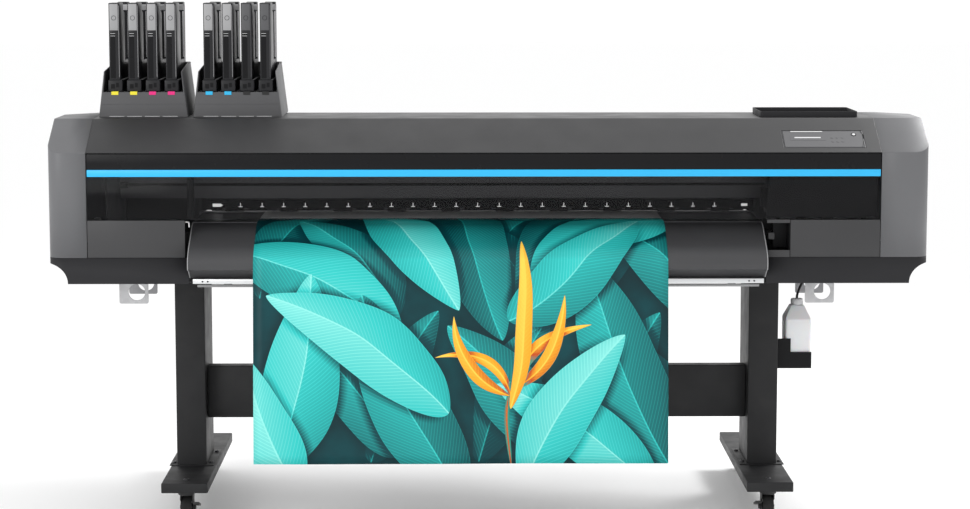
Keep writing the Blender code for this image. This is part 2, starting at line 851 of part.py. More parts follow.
# ---------------------------------------------------------------- waste ink
def make_waste_bottle():
    x, y = BOTTLE_CENTRE
    column_face = STAND_CENTRE + COLUMN_SPAN + COLUMN_WIDTH / 2
    floor = 0.437
    bracket = to_object(
        "bottle_bracket",
        block((column_face + GAP, -0.103, floor), (1.0515, 0.003, 0.534)),
        "black_plastic",
    )
    pocket = block((column_face + 0.0035, -0.100, floor + 0.003), (1.07, 0.0, 0.56))
    cut(bracket, "bottle_bracket_pocket", pocket)
    lip = 0.490
    lug_end = 0.984
    cut(bracket, "bottle_bracket_lip_cut", block((lug_end, -0.12, lip), (1.07, 0.02, 0.56)))
    behind_lug = block((column_face + 0.0035, -0.0995, lip), (1.07, 0.02, 0.56))
    cut(bracket, "bottle_bracket_back_cut", behind_lug)

    half_width = 0.042
    half_depth = 0.045
    neck_half = 0.021
    shoulder = 0.594
    shoulder_top = 0.638
    case = block(
        (x - half_width, y - half_depth, floor + 0.003 + GAP),
        (x + half_width, y + half_depth, shoulder_top),
    )
    upright = [edge for edge in case.edges if abs(edge.verts[0].co.z - edge.verts[1].co.z) > 0.1]
    bmesh.ops.bevel(
        case, geom=upright, offset=0.008, segments=3, profile=0.5, affect="EDGES", material=-1
    )
    rise = shoulder_top - shoulder
    for out, half in (
        (Vector((1, 0, 0)), half_width),
        (Vector((-1, 0, 0)), half_width),
        (Vector((0, 1, 0)), half_depth),
        (Vector((0, -1, 0)), half_depth),
    ):
        bmesh.ops.bisect_plane(
            case,
            geom=case.verts[:] + case.edges[:] + case.faces[:],
            plane_co=Vector((x, y, shoulder)) + out * half,
            plane_no=out * rise + Vector((0, 0, half - neck_half)),
            clear_outer=True,
        )
        bmesh.ops.holes_fill(case, edges=[edge for edge in case.edges if edge.is_boundary])
    bottle = to_object("waste_bottle", case, "milky_plastic", (x, y, floor))
    join(bottle, "waste_bottle_neck", rod("Z", 0.620, 0.645, (x, y), 0.016, 20))
    join(bottle, "waste_bottle_cap", rod("Z", 0.6385, CAP_TOP_Z, (x, y), 0.0195, 20))


def make_waste_tube():
    """The drain tube, from the underside of the body down to the bottle's cap."""
    x, y = BOTTLE_CENTRE
    start = Vector((x, y, CAP_TOP_Z + 0.0012))
    end = Vector((TUBE_TOP_X, y, UNDERSIDE_Z - 0.0012))
    points = []
    steps = 12
    for step in range(steps + 1):
        t = step / steps
        ease = t * t * (3 - 2 * t)
        points.append((start.x + (end.x - start.x) * ease, y, start.z + (end.z - start.z) * t))
    curve = bpy.data.curves.new("waste_tube", "CURVE")
    curve.dimensions = "3D"
    curve.bevel_depth = TUBE_RADIUS
    curve.bevel_resolution = 2
    curve.use_fill_caps = True
    curve.render_resolution_u = 0
    spline = curve.splines.new("POLY")
    spline.points.add(len(points) - 1)
    for point, place in zip(spline.points, points):
        point.co = (*place, 1)
    curve.materials.append(finish_of("rubber"))
    obj = bpy.data.objects.new("waste_tube", curve)
    bpy.context.scene.collection.objects.link(obj)


def main():
    clear_scene()
    make_floor_plates()
    make_columns()
    make_cross_beam()
    make_lifting_brackets()
    make_casters()
    make_bed_frame()
    make_side_covers()
    make_bottom_covers()
    make_top_hood()
    make_control_panel()
    make_rear_cover()
    make_front_cover()
    make_maintenance_panels()
    make_platen()
    make_guides()
    make_feed_roller()
    make_pressure_bar()
    make_pressure_lever()
    make_media()
    make_roll_holders()
    make_rail_beam()
    make_carriage()
    make_capping_station()
    make_tool_tray()
    make_ink_supply()
    make_waste_bottle()
    make_waste_tube()


main()
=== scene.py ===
"""Builds the outside of a large-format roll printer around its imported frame.

Every size is in metres. X runs along the machine, -Y is its front, +Z is up, and the
floor is at z = 0. Each operator makes one group of pieces and can be run on its own.
"""

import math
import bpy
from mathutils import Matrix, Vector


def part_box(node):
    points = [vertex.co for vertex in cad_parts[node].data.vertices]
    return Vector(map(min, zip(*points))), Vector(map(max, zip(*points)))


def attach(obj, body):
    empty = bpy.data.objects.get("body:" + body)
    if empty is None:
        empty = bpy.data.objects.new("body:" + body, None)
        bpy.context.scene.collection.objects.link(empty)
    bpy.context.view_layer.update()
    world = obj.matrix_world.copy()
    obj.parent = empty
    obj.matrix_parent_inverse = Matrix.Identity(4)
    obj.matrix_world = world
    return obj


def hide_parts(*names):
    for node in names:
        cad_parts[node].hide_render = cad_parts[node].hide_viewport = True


bl_info = {
    "name": "Roll printer",
    "version": (1, 0, 0),
    "blender": (4, 5, 0),
    "location": "View3D > Sidebar > Roll printer",
    "description": "Covers, stand, ink supply and printed film of a large-format roll printer",
    "category": "Add Mesh",
}

import bmesh
import bpy
from bpy.props import FloatProperty, FloatVectorProperty, IntProperty, PointerProperty
from mathutils import Matrix, Vector
from mathutils.geometry import interpolate_bezier

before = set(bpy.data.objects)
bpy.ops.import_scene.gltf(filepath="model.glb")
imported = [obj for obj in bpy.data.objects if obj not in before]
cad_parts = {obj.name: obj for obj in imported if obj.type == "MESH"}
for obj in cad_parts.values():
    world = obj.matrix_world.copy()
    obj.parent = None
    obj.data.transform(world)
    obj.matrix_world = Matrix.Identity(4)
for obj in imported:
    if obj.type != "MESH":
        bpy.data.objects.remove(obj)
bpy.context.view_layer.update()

HOOD_LOW, HOOD_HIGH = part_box("top_hood")
FRONT = HOOD_LOW.y
BACK = HOOD_HIGH.y
HOOD_TOP = HOOD_HIGH.z
LIP = 1.160  # foot of the hood's slope
SLOPE_TOP = -0.240  # y of the crest between the hood's slope and its flat top
SLOPE = math.atan2(HOOD_TOP - LIP, SLOPE_TOP - FRONT)
PANEL_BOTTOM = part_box("left_side_cover")[0].z
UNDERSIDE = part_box("left_bottom_cover")[0].z
TURNS = {
    "X": Matrix.Rotation(math.pi / 2, 4, "Y"),
    "Y": Matrix.Rotation(-math.pi / 2, 4, "X"),
    "Z": Matrix.Identity(4),
}


# ---------------------------------------------------------------- sizes and colours
def length(name, default, description):
    return FloatProperty(
        name=name, default=default, min=0, unit="LENGTH", precision=4, description=description
    )


def colour(name, default, description):
    return FloatVectorProperty(
        name=name, default=default, size=3, min=0, max=1, subtype="COLOR", description=description
    )


class PrinterSizes(bpy.types.PropertyGroup):
    wall: length("Cover wall", 0.003, "Thickness of the moulded covers")
    edge: length("Edge radius", 0.0012, "Rounding of ordinary edges")
    crest: length("Crest radius", 0.006, "Rounding where the hood's slope meets its top")
    corner: length("Corner radius", 0.047, "Upright front corners of the side covers")
    accent: length("Accent height", 0.0215, "Height of the coloured stripe on the front cover")
    mark_pitch: length("Mark pitch", 0.0697, "Distance between the marks over the film")
    marks: IntProperty(
        name="Marks", default=24, min=2, description="Marks on the front of the pressure bar"
    )
    film: length("Film thickness", 0.0006, "Thickness of the printed film")
    sides: IntProperty(
        name="Round sides", default=32, min=12, description="Facets round wheels and knobs"
    )


class PrinterColours(bpy.types.PropertyGroup):
    side: colour("Side covers", (0.130, 0.131, 0.137), "Mid grey of the two end covers")
    hood: colour("Hood", (0.024, 0.024, 0.0255), "Dark grey of the hood")
    panel: colour("Panels", (0.039, 0.039, 0.041), "Maintenance panels and guides")
    skirt: colour("Skirts", (0.024, 0.024, 0.026), "Covers under the two ends")
    black: colour("Black plastic", (0.008, 0.008, 0.009), "Black fittings")
    stand: colour("Stand paint", (0.014, 0.014, 0.015), "Powder coat of the stand")
    accent: colour("Accent stripe", (0.026, 0.470, 0.850), "Stripe along the front cover")
    module: colour("Ink modules", (0.090, 0.090, 0.094), "Ink supply modules")
    leaf: colour("Leaf", (0.028, 0.560, 0.530), "Lit leaves of the sample print")
    bloom: colour("Bloom", (0.950, 0.400, 0.020), "Flower of the sample print")


# ---------------------------------------------------------------- shaping
def cube(low, high):
    low = Vector(low)
    high = Vector(high)
    shape = bmesh.new()
    place = Matrix.Translation((low + high) / 2) @ Matrix.Diagonal((*(high - low), 1))
    bmesh.ops.create_cube(shape, size=1, matrix=place)
    return shape


def spot(axis, along, centre):
    """A point from its place along an axis and its two other coordinates."""
    point = list(centre)
    point.insert("XYZ".index(axis), along)
    return Vector(point)


def rod(axis, start, end, centre, radius, sides=24, end_radius=None):
    shape = bmesh.new()
    place = Matrix.Translation(spot(axis, (start + end) / 2, centre)) @ TURNS[axis]
    bmesh.ops.create_cone(
        shape,
        cap_ends=True,
        segments=sides,
        radius1=radius,
        radius2=radius if end_radius is None else end_radius,
        depth=end - start,
        matrix=place,
    )
    return shape


def prism(outline, axis, start, end):
    """Extrudes a flat outline along an axis. Its points hold the two other coordinates."""
    shape = bmesh.new()
    face = shape.faces.new([shape.verts.new(spot(axis, start, point)) for point in outline])
    grown = bmesh.ops.extrude_face_region(shape, geom=[face])["geom"]
    step = spot(axis, end - start, (0, 0))
    moved = [item for item in grown if isinstance(item, bmesh.types.BMVert)]
    bmesh.ops.translate(shape, verts=moved, vec=step)
    bmesh.ops.recalc_face_normals(shape, faces=shape.faces)
    return shape


def turned(line, axis, centre, sides=32):
    """Spins a line of (radius, distance along the axis) points round an axis."""
    shape = bmesh.new()
    points = [shape.verts.new((radius, 0, along)) for radius, along in line]
    edges = [shape.edges.new(pair) for pair in zip(points, points[1:])]
    bmesh.ops.spin(
        shape,
        geom=points + edges,
        cent=(0, 0, 0),
        axis=(0, 0, 1),
        angle=2 * math.pi,
        steps=sides,
        use_merge=True,
    )
    bmesh.ops.remove_doubles(shape, verts=shape.verts, dist=1e-5)
    bmesh.ops.recalc_face_normals(shape, faces=shape.faces)
    shape.transform(Matrix.Translation(spot(axis, 0, centre)) @ TURNS[axis])
    return shape


def folded(points, inner, outer):
    """The outline of a folded sheet that lies between two distances left of a line."""
    points = [Vector(point) for point in points]
    ahead = [(there - here).normalized() for here, there in zip(points, points[1:])]
    left = [Vector((-along.y, along.x)) for along in ahead]
    sides = []
    for distance in (inner, outer):
        line = []
        for index, point in enumerate(points):
            before = left[max(index - 1, 0)]
            mitre = (before + left[min(index, len(left) - 1)]).normalized()
            line.append(tuple(point + mitre * (distance / mitre.dot(before))))
        sides.append(line)
    return sides[0] + sides[1][::-1]


def smooth_line(points, steps):
    """Points along a smooth curve through the given ones, however unevenly they are spaced."""
    line = [Vector(point) for point in points]
    line = [2 * line[0] - line[1], *line, 2 * line[-1] - line[-2]]
    made = []
    for a, b, c, d in zip(line, line[1:], line[2:], line[3:]):
        before, here, after = (b - a).length, (c - b).length, (d - c).length
        out = ((b - a) / before * here + (c - b) / here * before) * here / (before + here)
        back = ((c - b) / here * after + (d - c) / after * here) * here / (here + after)
        made += interpolate_bezier(b, b + out / 3, c - back / 3, c, steps + 1)[:-1]
    return [tuple(point) for point in made + [line[-2]]]


def soften(shape, width, rounds=2, chosen=None, sharper=25):
    """Rounds the sharp edges, or those of them that a test on (middle, direction) picks."""
    edges = []
    for edge in shape.edges:
        if not edge.is_manifold or edge.calc_face_angle(0) < math.radians(sharper):
            continue
        here, there = (vertex.co for vertex in edge.verts)
        if chosen is None or chosen((here + there) / 2, (there - here).normalized()):
            edges.append(edge)
    bmesh.ops.bevel(
        shape,
        geom=edges,
        offset=width,
        offset_type="OFFSET",
        segments=rounds,
        profile=0.5,
        affect="EDGES",
        clamp_overlap=True,
        material=-1,
    )
    return shape


def along(axis):
    """Picks the edges that run along an axis."""
    return lambda middle, direction: abs(direction["XYZ".index(axis)]) > 0.99


def painted(shape, index):
    for face in shape.faces:
        face.material_index = index
    return shape


def moved(shape, step):
    bmesh.ops.translate(shape, verts=shape.verts, vec=step)
    return shape


def mirrored(shape, centre=0.0):
    """The same shape on the other side of an upright plane across X."""
    bmesh.ops.scale(
        shape, verts=shape.verts, vec=(-1, 1, 1), space=Matrix.Translation((-centre, 0, 0))
    )
    bmesh.ops.reverse_faces(shape, faces=shape.faces)
    return shape


def together(*shapes):
    """Puts several drawn shapes into the first one."""
    whole = shapes[0]
    for shape in shapes[1:]:
        mesh = bpy.data.meshes.new("part")
        shape.to_mesh(mesh)
        shape.free()
        whole.from_mesh(mesh)
        bpy.data.meshes.remove(mesh)
    return whole


def carved(shape, *cutters):
    """Cuts shapes that don't touch each other out of another one."""
    objects = []
    for name, drawn in (("body", shape), ("cutter", together(*cutters))):
        mesh = bpy.data.meshes.new(name)
        drawn.to_mesh(mesh)
        drawn.free()
        objects.append(bpy.data.objects.new(name, mesh))
        bpy.context.scene.collection.objects.link(objects[-1])
    body, cutter = objects
    modifier = body.modifiers.new("cut", "BOOLEAN")
    modifier.solver = "EXACT"
    modifier.object = cutter
    graph = bpy.context.evaluated_depsgraph_get()
    result = bmesh.new()
    result.from_mesh(body.evaluated_get(graph).data)
    for obj in objects:
        mesh = obj.data
        bpy.data.objects.remove(obj)
        bpy.data.meshes.remove(mesh)
    return result


def sliced(shape, place, out):
    """Cuts off what lies beyond a plane and closes the cut."""
    every = shape.verts[:] + shape.edges[:] + shape.faces[:]
    bmesh.ops.bisect_plane(shape, geom=every, plane_co=place, plane_no=out, clear_outer=True)
    bmesh.ops.holes_fill(shape, edges=[edge for edge in shape.edges if edge.is_boundary])


def on_slope(shape):
    """Lays a shape drawn at the origin on the hood's slope, with y running up it."""
    shape.transform(Matrix.Translation((0, FRONT, LIP)) @ Matrix.Rotation(SLOPE, 4, "X"))
    return shape


def piece(name, shape, finishes, body, stands_for=(), wall=0.0, edge=0.0, sharp=35):
    """Makes an object of a drawn shape. It rides on a body and may stand for CAD nodes."""
    mesh = bpy.data.meshes.new(name)
    shape.to_mesh(mesh)
    shape.free()
    for finish in finishes.split():
        mesh.materials.append(finish_of(finish))
    mesh.shade_smooth()
    mesh.set_sharp_from_angle(angle=math.radians(sharp))
    made = bpy.data.objects.new(name, mesh)
    bpy.context.scene.collection.objects.link(made)
    if wall:
        shell = made.modifiers.new("wall", "SOLIDIFY")
        shell.thickness = wall
        shell.offset = -1
        shell.use_even_offset = True
    if edge:
        rounding = made.modifiers.new("edges", "BEVEL")
        rounding.width = edge
        rounding.segments = 2
        rounding.limit_method = "ANGLE"
        rounding.angle_limit = math.radians(40)
        rounding.harden_normals = True
    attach(made, body)
    if stands_for:
        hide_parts(*stands_for.split())
    return made


# ---------------------------------------------------------------- finishes
class Recipe:
    """A node material that is put together one node at a time."""

    def __init__(self, name):
        self.material = bpy.data.materials.new(name)
        self.material.use_nodes = True
        self.tree = self.material.node_tree
        self.shader = self.tree.nodes["Principled BSDF"]
        self.place = self.add("TexCoord").outputs["Object"]

    def feed(self, socket, value):
        if isinstance(value, bpy.types.Node):
            value = value.outputs[0]
        if isinstance(value, bpy.types.NodeSocket):
            self.tree.links.new(value, socket)
        elif value is not None:
            socket.default_value = (*value, 1) if socket.type == "RGBA" else value

    def add(self, kind, *values, **named):
        node = self.tree.nodes.new("ShaderNode" + kind)
        for key in sorted(named, key=lambda key: not hasattr(node, key)):
            if hasattr(node, key):
                setattr(node, key, named[key])
            else:
                self.feed(node.inputs[key.replace("_", " ")], named[key])
        for socket, value in zip(node.inputs, values):
            self.feed(socket, value)
        return node

    def maths(self, operation, *values, clamp=False):
        return self.add("Math", *values, operation=operation, use_clamp=clamp).outputs[0]

    def range(self, value, low, high, start=0.0, end=1.0):
        return self.add("MapRange", value, low, high, start, end).outputs[0]

    def mix(self, share, a, b, way="MIX"):
        node = self.add("Mix", data_type="RGBA", blend_type=way)
        for index, value in ((0, share), (6, a), (7, b)):
            self.feed(node.inputs[index], value)
        return node.outputs[2]

    def stretch(self, scale, place=None):
        return self.add("Mapping", place or self.place, Scale=scale).outputs[0]

    def noise(self, scale, detail=3.0, place=None, roughness=0.5):
        node = self.add(
            "TexNoise", Vector=place or self.place, Scale=scale, Detail=detail, Roughness=roughness
        )
        return node.outputs[0]

    def bump(self, height, strength, distance, under=None):
        return self.add(
            "Bump", Strength=strength, Distance=distance, Height=height, Normal=under
        ).outputs[0]

    def finish(self, base, roughness, normal=None, metallic=0.0, **fixed):
        self.feed(self.shader.inputs["Base Color"], base)
        self.feed(self.shader.inputs["Roughness"], roughness)
        self.feed(self.shader.inputs["Metallic"], metallic)
        self.feed(self.shader.inputs["Normal"], normal)
        for key, value in fixed.items():
            self.shader.inputs[key.replace("_", " ")].default_value = value
        return self.material


def moulded(name, base, roughness, grain=0.10, specular=0.4, blotch=0.12):
    """Spark-eroded moulded plastic: fine grain, faint flow marks and a few dull patches."""
    r = Recipe(name)
    cloud = r.noise(4.0, 4.0)
    fine = r.noise(900.0, 2.0)
    tone = r.mix(r.range(cloud, 0.3, 0.7, 0.0, blotch), base, tuple(c * 1.6 for c in base))
    tone = r.mix(r.range(fine, 0.35, 0.65, 0.0, 0.10), tone, tuple(c * 0.6 for c in base))
    dull = r.range(r.noise(11.0, 5.0), 0.3, 0.7, roughness - 0.04, roughness + 0.06)
    return r.finish(tone, dull, r.bump(fine, grain, 0.0004), Specular_IOR_Level=specular)


def coated(name, base, roughness=0.5, specular=0.3):
    """Powder coat: orange-peel waviness, fine pits and a little dust."""
    r = Recipe(name)
    peel = r.noise(260.0, 2.0)
    dust = r.range(r.noise(7.0, 6.0), 0.55, 0.80, 0.0, 0.25)
    tone = r.mix(dust, base, (0.05, 0.05, 0.05))
    rough = r.range(r.noise(18.0, 4.0), 0.3, 0.7, roughness - 0.05, roughness + 0.08)
    return r.finish(tone, rough, r.bump(peel, 0.18, 0.0006), Specular_IOR_Level=specular)


def zinc(name, base):
    """Galvanised steel sheet with its crystal pattern."""
    r = Recipe(name)
    crystals = r.add("TexVoronoi", Vector=r.place, Scale=70.0)
    shade = r.range(crystals.outputs["Color"], 0.0, 1.0, 0.0, 0.35)
    tone = r.mix(shade, base, tuple(c * 0.72 for c in base))
    rough = r.range(crystals.outputs["Color"], 0.0, 1.0, 0.28, 0.46)
    return r.finish(tone, rough, r.bump(r.noise(300.0), 0.05, 0.0004), 0.75)


def brushed(name, base, roughness=0.32, metallic=1.0, scale=(6.0, 500.0, 500.0)):
    """Metal with fine lines along one direction."""
    r = Recipe(name)
    lines = r.noise(1.0, 4.0, r.stretch(scale))
    tone = r.mix(r.range(lines, 0.3, 0.7, 0.0, 0.30), base, tuple(c * 0.65 for c in base))
    rough = r.range(lines, 0.3, 0.7, roughness - 0.06, roughness + 0.12)
    return r.finish(tone, rough, r.bump(lines, 0.08, 0.0003), metallic)


def bed_plate(name):
    """Anodised bed with rows of small suction holes and shallow grooves, both painted dark as
    painted shade.
    """
    r = Recipe(name)
    axes = r.add("SeparateXYZ", r.place).outputs
    cells = [r.maths("PINGPONG", axes[i], 0.0125) for i in (0, 1)]
    far = r.maths("SQRT", r.maths("ADD", *(r.maths("POWER", cell, 2.0) for cell in cells)))
    hole = r.range(far, 0.0010, 0.0014, 1.0, 0.0)
    groove = r.range(r.maths("PINGPONG", axes[0], 0.050), 0.0006, 0.0010, 0.5, 0.0)
    lines = r.noise(1.0, 4.0, r.stretch((6.0, 600.0, 600.0)))
    tone = r.mix(r.range(lines, 0.3, 0.7, 0.0, 0.4), (0.16, 0.16, 0.17), (0.10, 0.10, 0.11))
    # Holes and grooves are darkened in the colour: painted shade in the recesses.
    tone = r.mix(r.maths("MAXIMUM", hole, groove), tone, (0.01, 0.01, 0.01))
    depth = r.bump(hole, 0.6, -0.001)
    return r.finish(tone, 0.42, depth, 0.6)


def rubber(name, base, ribs=0.0):
    """Matt rubber with a dry bloom, and fine ribs where it grips."""
    r = Recipe(name)
    bloom = r.range(r.noise(60.0, 6.0), 0.4, 0.75, 0.0, 0.35)
    tone = r.mix(bloom, base, tuple(c * 2.6 for c in base))
    height = r.noise(500.0, 3.0)
    if ribs:
        axes = r.add("SeparateXYZ", r.place).outputs
        height = r.maths("ADD", height, r.maths("SINE", r.maths("MULTIPLY", axes[0], ribs)))
    rough = r.range(r.noise(90.0), 0.3, 0.7, 0.72, 0.88)
    return r.finish(tone, rough, r.bump(height, 0.25, 0.0004), Specular_IOR_Level=0.3)


def smoked(name):
    """Smoked acrylic that lets a little of the inside through, with faint wipe marks."""
    r = Recipe(name)
    wipes = r.noise(1.0, 5.0, r.stretch((3.0, 30.0, 40.0)))
    rough = r.range(wipes, 0.3, 0.8, 0.05, 0.16)
    tone = r.mix(r.range(wipes, 0.4, 0.8, 0.0, 0.3), (0.008, 0.008, 0.009), (0.016, 0.016, 0.018))
    return r.finish(tone, rough, Alpha=0.27, Specular_IOR_Level=0.22)


def milky(name):
    """Blow-moulded polyethylene, brighter where it is thin and tinted towards its foot."""
    r = Recipe(name)
    height = r.add("SeparateXYZ", r.place).outputs[2]
    low = r.range(height, 0.440, 0.560, 0.45, 0.0)
    tone = r.mix(low, (0.86, 0.87, 0.88), (0.66, 0.68, 0.71))
    tone = r.mix(r.range(r.noise(30.0, 5.0), 0.4, 0.7, 0.0, 0.15), tone, (0.95, 0.95, 0.94))
    wave = r.bump(r.noise(45.0, 2.0), 0.12, 0.002)
    return r.finish(tone, 0.38, wave, Subsurface_Weight=0.25, Subsurface_Scale=0.01)


def rolled_film(name):
    """A wound roll: white outside, with the edges of its layers on its two ends."""
    r = Recipe(name)
    low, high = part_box("media_roll")
    centre = (low + high) / 2
    shift = r.add("Mapping", r.place, Location=-centre).outputs[0]
    axes = r.add("SeparateXYZ", shift).outputs
    squares = [r.maths("POWER", axes[i], 2.0) for i in (1, 2)]
    radius = r.maths("SQRT", r.maths("ADD", *squares))
    wobble = r.maths("ADD", radius, r.maths("MULTIPLY", r.noise(25.0), 0.0010))
    rings = r.maths("SINE", r.maths("MULTIPLY", wobble, 5200.0))
    inside = r.range(radius, high.z - centre.z - 0.0010, high.z - centre.z - 0.0004, 1.0, 0.0)
    shade = r.maths("MULTIPLY", r.range(rings, -1.0, 1.0, 0.0, 0.35), inside)
    tone = r.mix(shade, (0.80, 0.80, 0.80), (0.42, 0.43, 0.45))
    return r.finish(tone, 0.38, r.bump(rings, 0.1, 0.0003))


def leaf_group():
    """One leaf over what is already drawn: a bent blade with a midrib, veins and a shadow."""
    tree = bpy.data.node_groups.new("leaf", "ShaderNodeTree")
    for name in ("Place", "Under", "Foot", "Turn", "Length", "Width", "Bend", "Light", "Veins"):
        kind = "Vector" if name in ("Place", "Foot") else "Float"
        tree.interface.new_socket(name, in_out="INPUT", socket_type="NodeSocket" + kind)
    tree.interface.new_socket("Over", in_out="OUTPUT", socket_type="NodeSocketFloat")
    r = Recipe.__new__(Recipe)
    r.tree = tree
    given = tree.nodes.new("NodeGroupInput").outputs
    local = r.add("VectorMath", given["Place"], given["Foot"], operation="SUBTRACT").outputs[0]
    turn = r.maths("MULTIPLY", given["Turn"], -1.0)
    local = r.add("VectorRotate", Vector=local, Angle=turn, rotation_type="Z_AXIS").outputs[0]
    axes = r.add("SeparateXYZ", local).outputs
    share = r.maths("DIVIDE", axes[0], given["Length"], clamp=True)
    rest = r.maths("SUBTRACT", 1.0, share)
    bow = r.maths("MULTIPLY", r.maths("MULTIPLY", share, rest), given["Bend"])
    across = r.maths("SUBTRACT", axes[1], bow)
    off = r.maths("ABSOLUTE", across)
    blade = r.maths("SINE", r.maths("MULTIPLY", r.maths("POWER", share, 0.8), math.pi))
    half = r.maths("MULTIPLY", r.maths("POWER", r.maths("MAXIMUM", blade, 0.0), 0.7),
                   given["Width"])
    edge = r.maths("SUBTRACT", half, off)
    mask = r.maths("MULTIPLY", edge, 700.0, clamp=True)
    shadow = r.maths("MULTIPLY_ADD", edge, 26.0, 0.70, clamp=True)
    shadow = r.maths("MULTIPLY", shadow, r.maths("MULTIPLY", blade, 2.0, clamp=True))
    under = r.maths("MULTIPLY", given["Under"], r.maths("MULTIPLY_ADD", shadow, -0.62, 1.0))
    sweep = r.maths("MULTIPLY_ADD", off, -1.3, axes[0])
    veins = r.maths("SINE", r.maths("MULTIPLY", sweep, 420.0))
    veins = r.maths("POWER", r.maths("MAXIMUM", veins, 0.0), 4.0)
    veins = r.maths("MULTIPLY", veins, r.maths("MULTIPLY", given["Veins"], 0.22))
    rib = r.maths("ADD", r.range(off, 0.0008, 0.0030, 0.45, 0.0),
                  r.range(edge, 0.0, 0.0025, 0.30, 0.0))
    side = r.range(across, -0.003, 0.003, 0.80, 1.0)
    tips = r.maths("MULTIPLY_ADD", share, 0.35, 0.80)
    roll = r.maths("MULTIPLY", tips,
                   r.range(r.maths("DIVIDE", off, r.maths("ADD", half, 0.001)), 0.1, 1.0, 1.0,
                           0.86))
    light = r.maths("MULTIPLY", given["Light"], r.maths("MULTIPLY", side, roll))
    light = r.maths("MULTIPLY", light, r.maths("ADD", 1.0, veins))
    light = r.maths("ADD", light, r.maths("MULTIPLY", rib, given["Light"]))
    shown = r.maths("MULTIPLY", light, mask)
    hidden = r.maths("MULTIPLY", under, r.maths("SUBTRACT", 1.0, mask))
    out = tree.nodes.new("NodeGroupOutput")
    tree.links.new(r.maths("ADD", hidden, shown), out.inputs[0])
    return tree


# Each leaf: foot across and up the film from its lower left corner, direction in degrees,
# length, half width, bend and light. Later ones lie over earlier ones, and about twenty in all
# is as many as one material holds.
LEAVES = (
    (0.62, 1.02, 282, 0.66, 0.130, -0.12, 0.36),
    (1.02, 1.02, 252, 0.66, 0.130, 0.12, 0.40),
    (-0.06, 0.66, 332, 0.60, 0.115, 0.16, 0.58),
    (1.36, 0.92, 214, 0.62, 0.115, -0.14, 0.62),
    (0.36, 1.00, 296, 0.60, 0.100, -0.10, 0.66),
    (0.02, -0.06, 76, 0.66, 0.120, -0.18, 0.66),
    (0.66, -0.10, 118, 0.70, 0.120, 0.16, 0.46),
    (1.30, -0.04, 112, 0.74, 0.125, 0.14, 0.44),
    (0.78, 0.44, 44, 0.56, 0.100, -0.16, 0.58),
    (0.60, 0.16, 148, 0.66, 0.105, -0.20, 0.76),
    (1.24, -0.10, 146, 0.60, 0.100, -0.16, 0.72),
    (0.14, -0.08, 112, 0.44, 0.085, 0.12, 0.84),
    (0.84, -0.08, 58, 0.56, 0.090, 0.18, 0.78),
)
# Repeated leaves behind the others: the cell across and up, then one leaf in it.
ROWS = (
    (0.34, 0.50, (0.02, 0.00, 66, 0.50, 0.090, 0.10, 0.34)),
    (0.46, 0.42, (0.44, 0.02, 128, 0.50, 0.095, -0.12, 0.42)),
)
PETALS = (
    (0.800, -0.02, 92, 0.30, 0.008, 0.05, 0.34),
    (0.790, 0.20, 152, 0.26, 0.018, -0.22, 0.84),
    (0.790, 0.22, 40, 0.32, 0.020, 0.24, 0.88),
    (0.785, 0.20, 126, 0.30, 0.021, 0.20, 0.72),
    (0.795, 0.22, 62, 0.34, 0.022, -0.16, 0.74),
    (0.792, 0.16, 86, 0.56, 0.026, -0.06, 0.92),
)


def printed(name):
    """The sample print: overlapping leaves with one bloom, under a satin film surface."""
    chosen = bpy.context.scene.printer_colours
    r = Recipe(name)
    leaf = leaf_group()
    place = r.add("UVMap", uv_map="film").outputs[0]
    sway = r.add("VectorMath", r.add("TexNoise", Vector=place, Scale=2.2, Detail=1.0).outputs[1],
                 (0.5, 0.5, 0.5), operation="SUBTRACT").outputs[0]
    sway = r.add("VectorMath", sway, Scale=0.07, operation="SCALE").outputs[0]
    place = r.add("VectorMath", place, sway, operation="ADD").outputs[0]
    cloud = r.range(r.noise(6.0, 3.0, place), 0.3, 0.7, 0.08, 0.26)
    layers = []
    for drawn, value, veins in ((ROWS + LEAVES, cloud, 1.0), (PETALS, 0.0, 0.35)):
        for entry in drawn:
            where = place
            if len(entry) == 3:
                cell = (entry[0], entry[1], 1.0)
                where = r.add("VectorMath", place, cell, (0.0, 0.0, -1.0),
                              operation="WRAP").outputs[0]
                entry = entry[2]
            x, y, turn, *shape = entry
            node = r.tree.nodes.new("ShaderNodeGroup")
            node.node_tree = leaf
            for socket, given in zip(node.inputs,
                                     (where, value, (x, y, 0.0), math.radians(turn), *shape,
                                      veins)):
                r.feed(socket, given)
            value = node.outputs[0]
        layers.append(value)
    tones = []
    for value, stops in zip(layers, (
        ((0.0, (0.000, 0.010, 0.014)), (0.25, (0.000, 0.055, 0.065)),
         (0.55, tuple(chosen.leaf)), (0.95, (0.280, 0.820, 0.750))),
        ((0.0, (0.010, 0.100, 0.080)), (0.28, (0.030, 0.300, 0.220)), (0.40, (0.550, 0.070, 0.010)),
         (0.60, tuple(chosen.bloom)), (0.95, (1.000, 0.640, 0.080))),
    )):
        ramp = r.add("ValToRGB", value)
        band = ramp.color_ramp.elements
        while len(band) < len(stops):
            band.new(0.5)
        for stop, (where, tint) in zip(band, stops):
            stop.position = where
            stop.color = (*tint, 1)
        tones.append(ramp.outputs[0])
    flower = r.maths("MULTIPLY", layers[1], 12.0, clamp=True)
    art = r.mix(flower, tones[0], tones[1])
    margin = r.add("SeparateXYZ", r.add("UVMap", uv_map="film").outputs[0]).outputs
    inside = r.range(margin[1], 0.93, 0.931, 1.0, 0.0)
    tone = r.mix(inside, (0.86, 0.86, 0.86), art)
    lines = r.maths("SINE", r.maths("MULTIPLY", margin[1], 2400.0))
    satin = r.range(r.noise(40.0, 3.0), 0.3, 0.7, 0.38, 0.46)
    return r.finish(tone, satin, r.bump(lines, 0.03, 0.0002), Specular_IOR_Level=0.25)


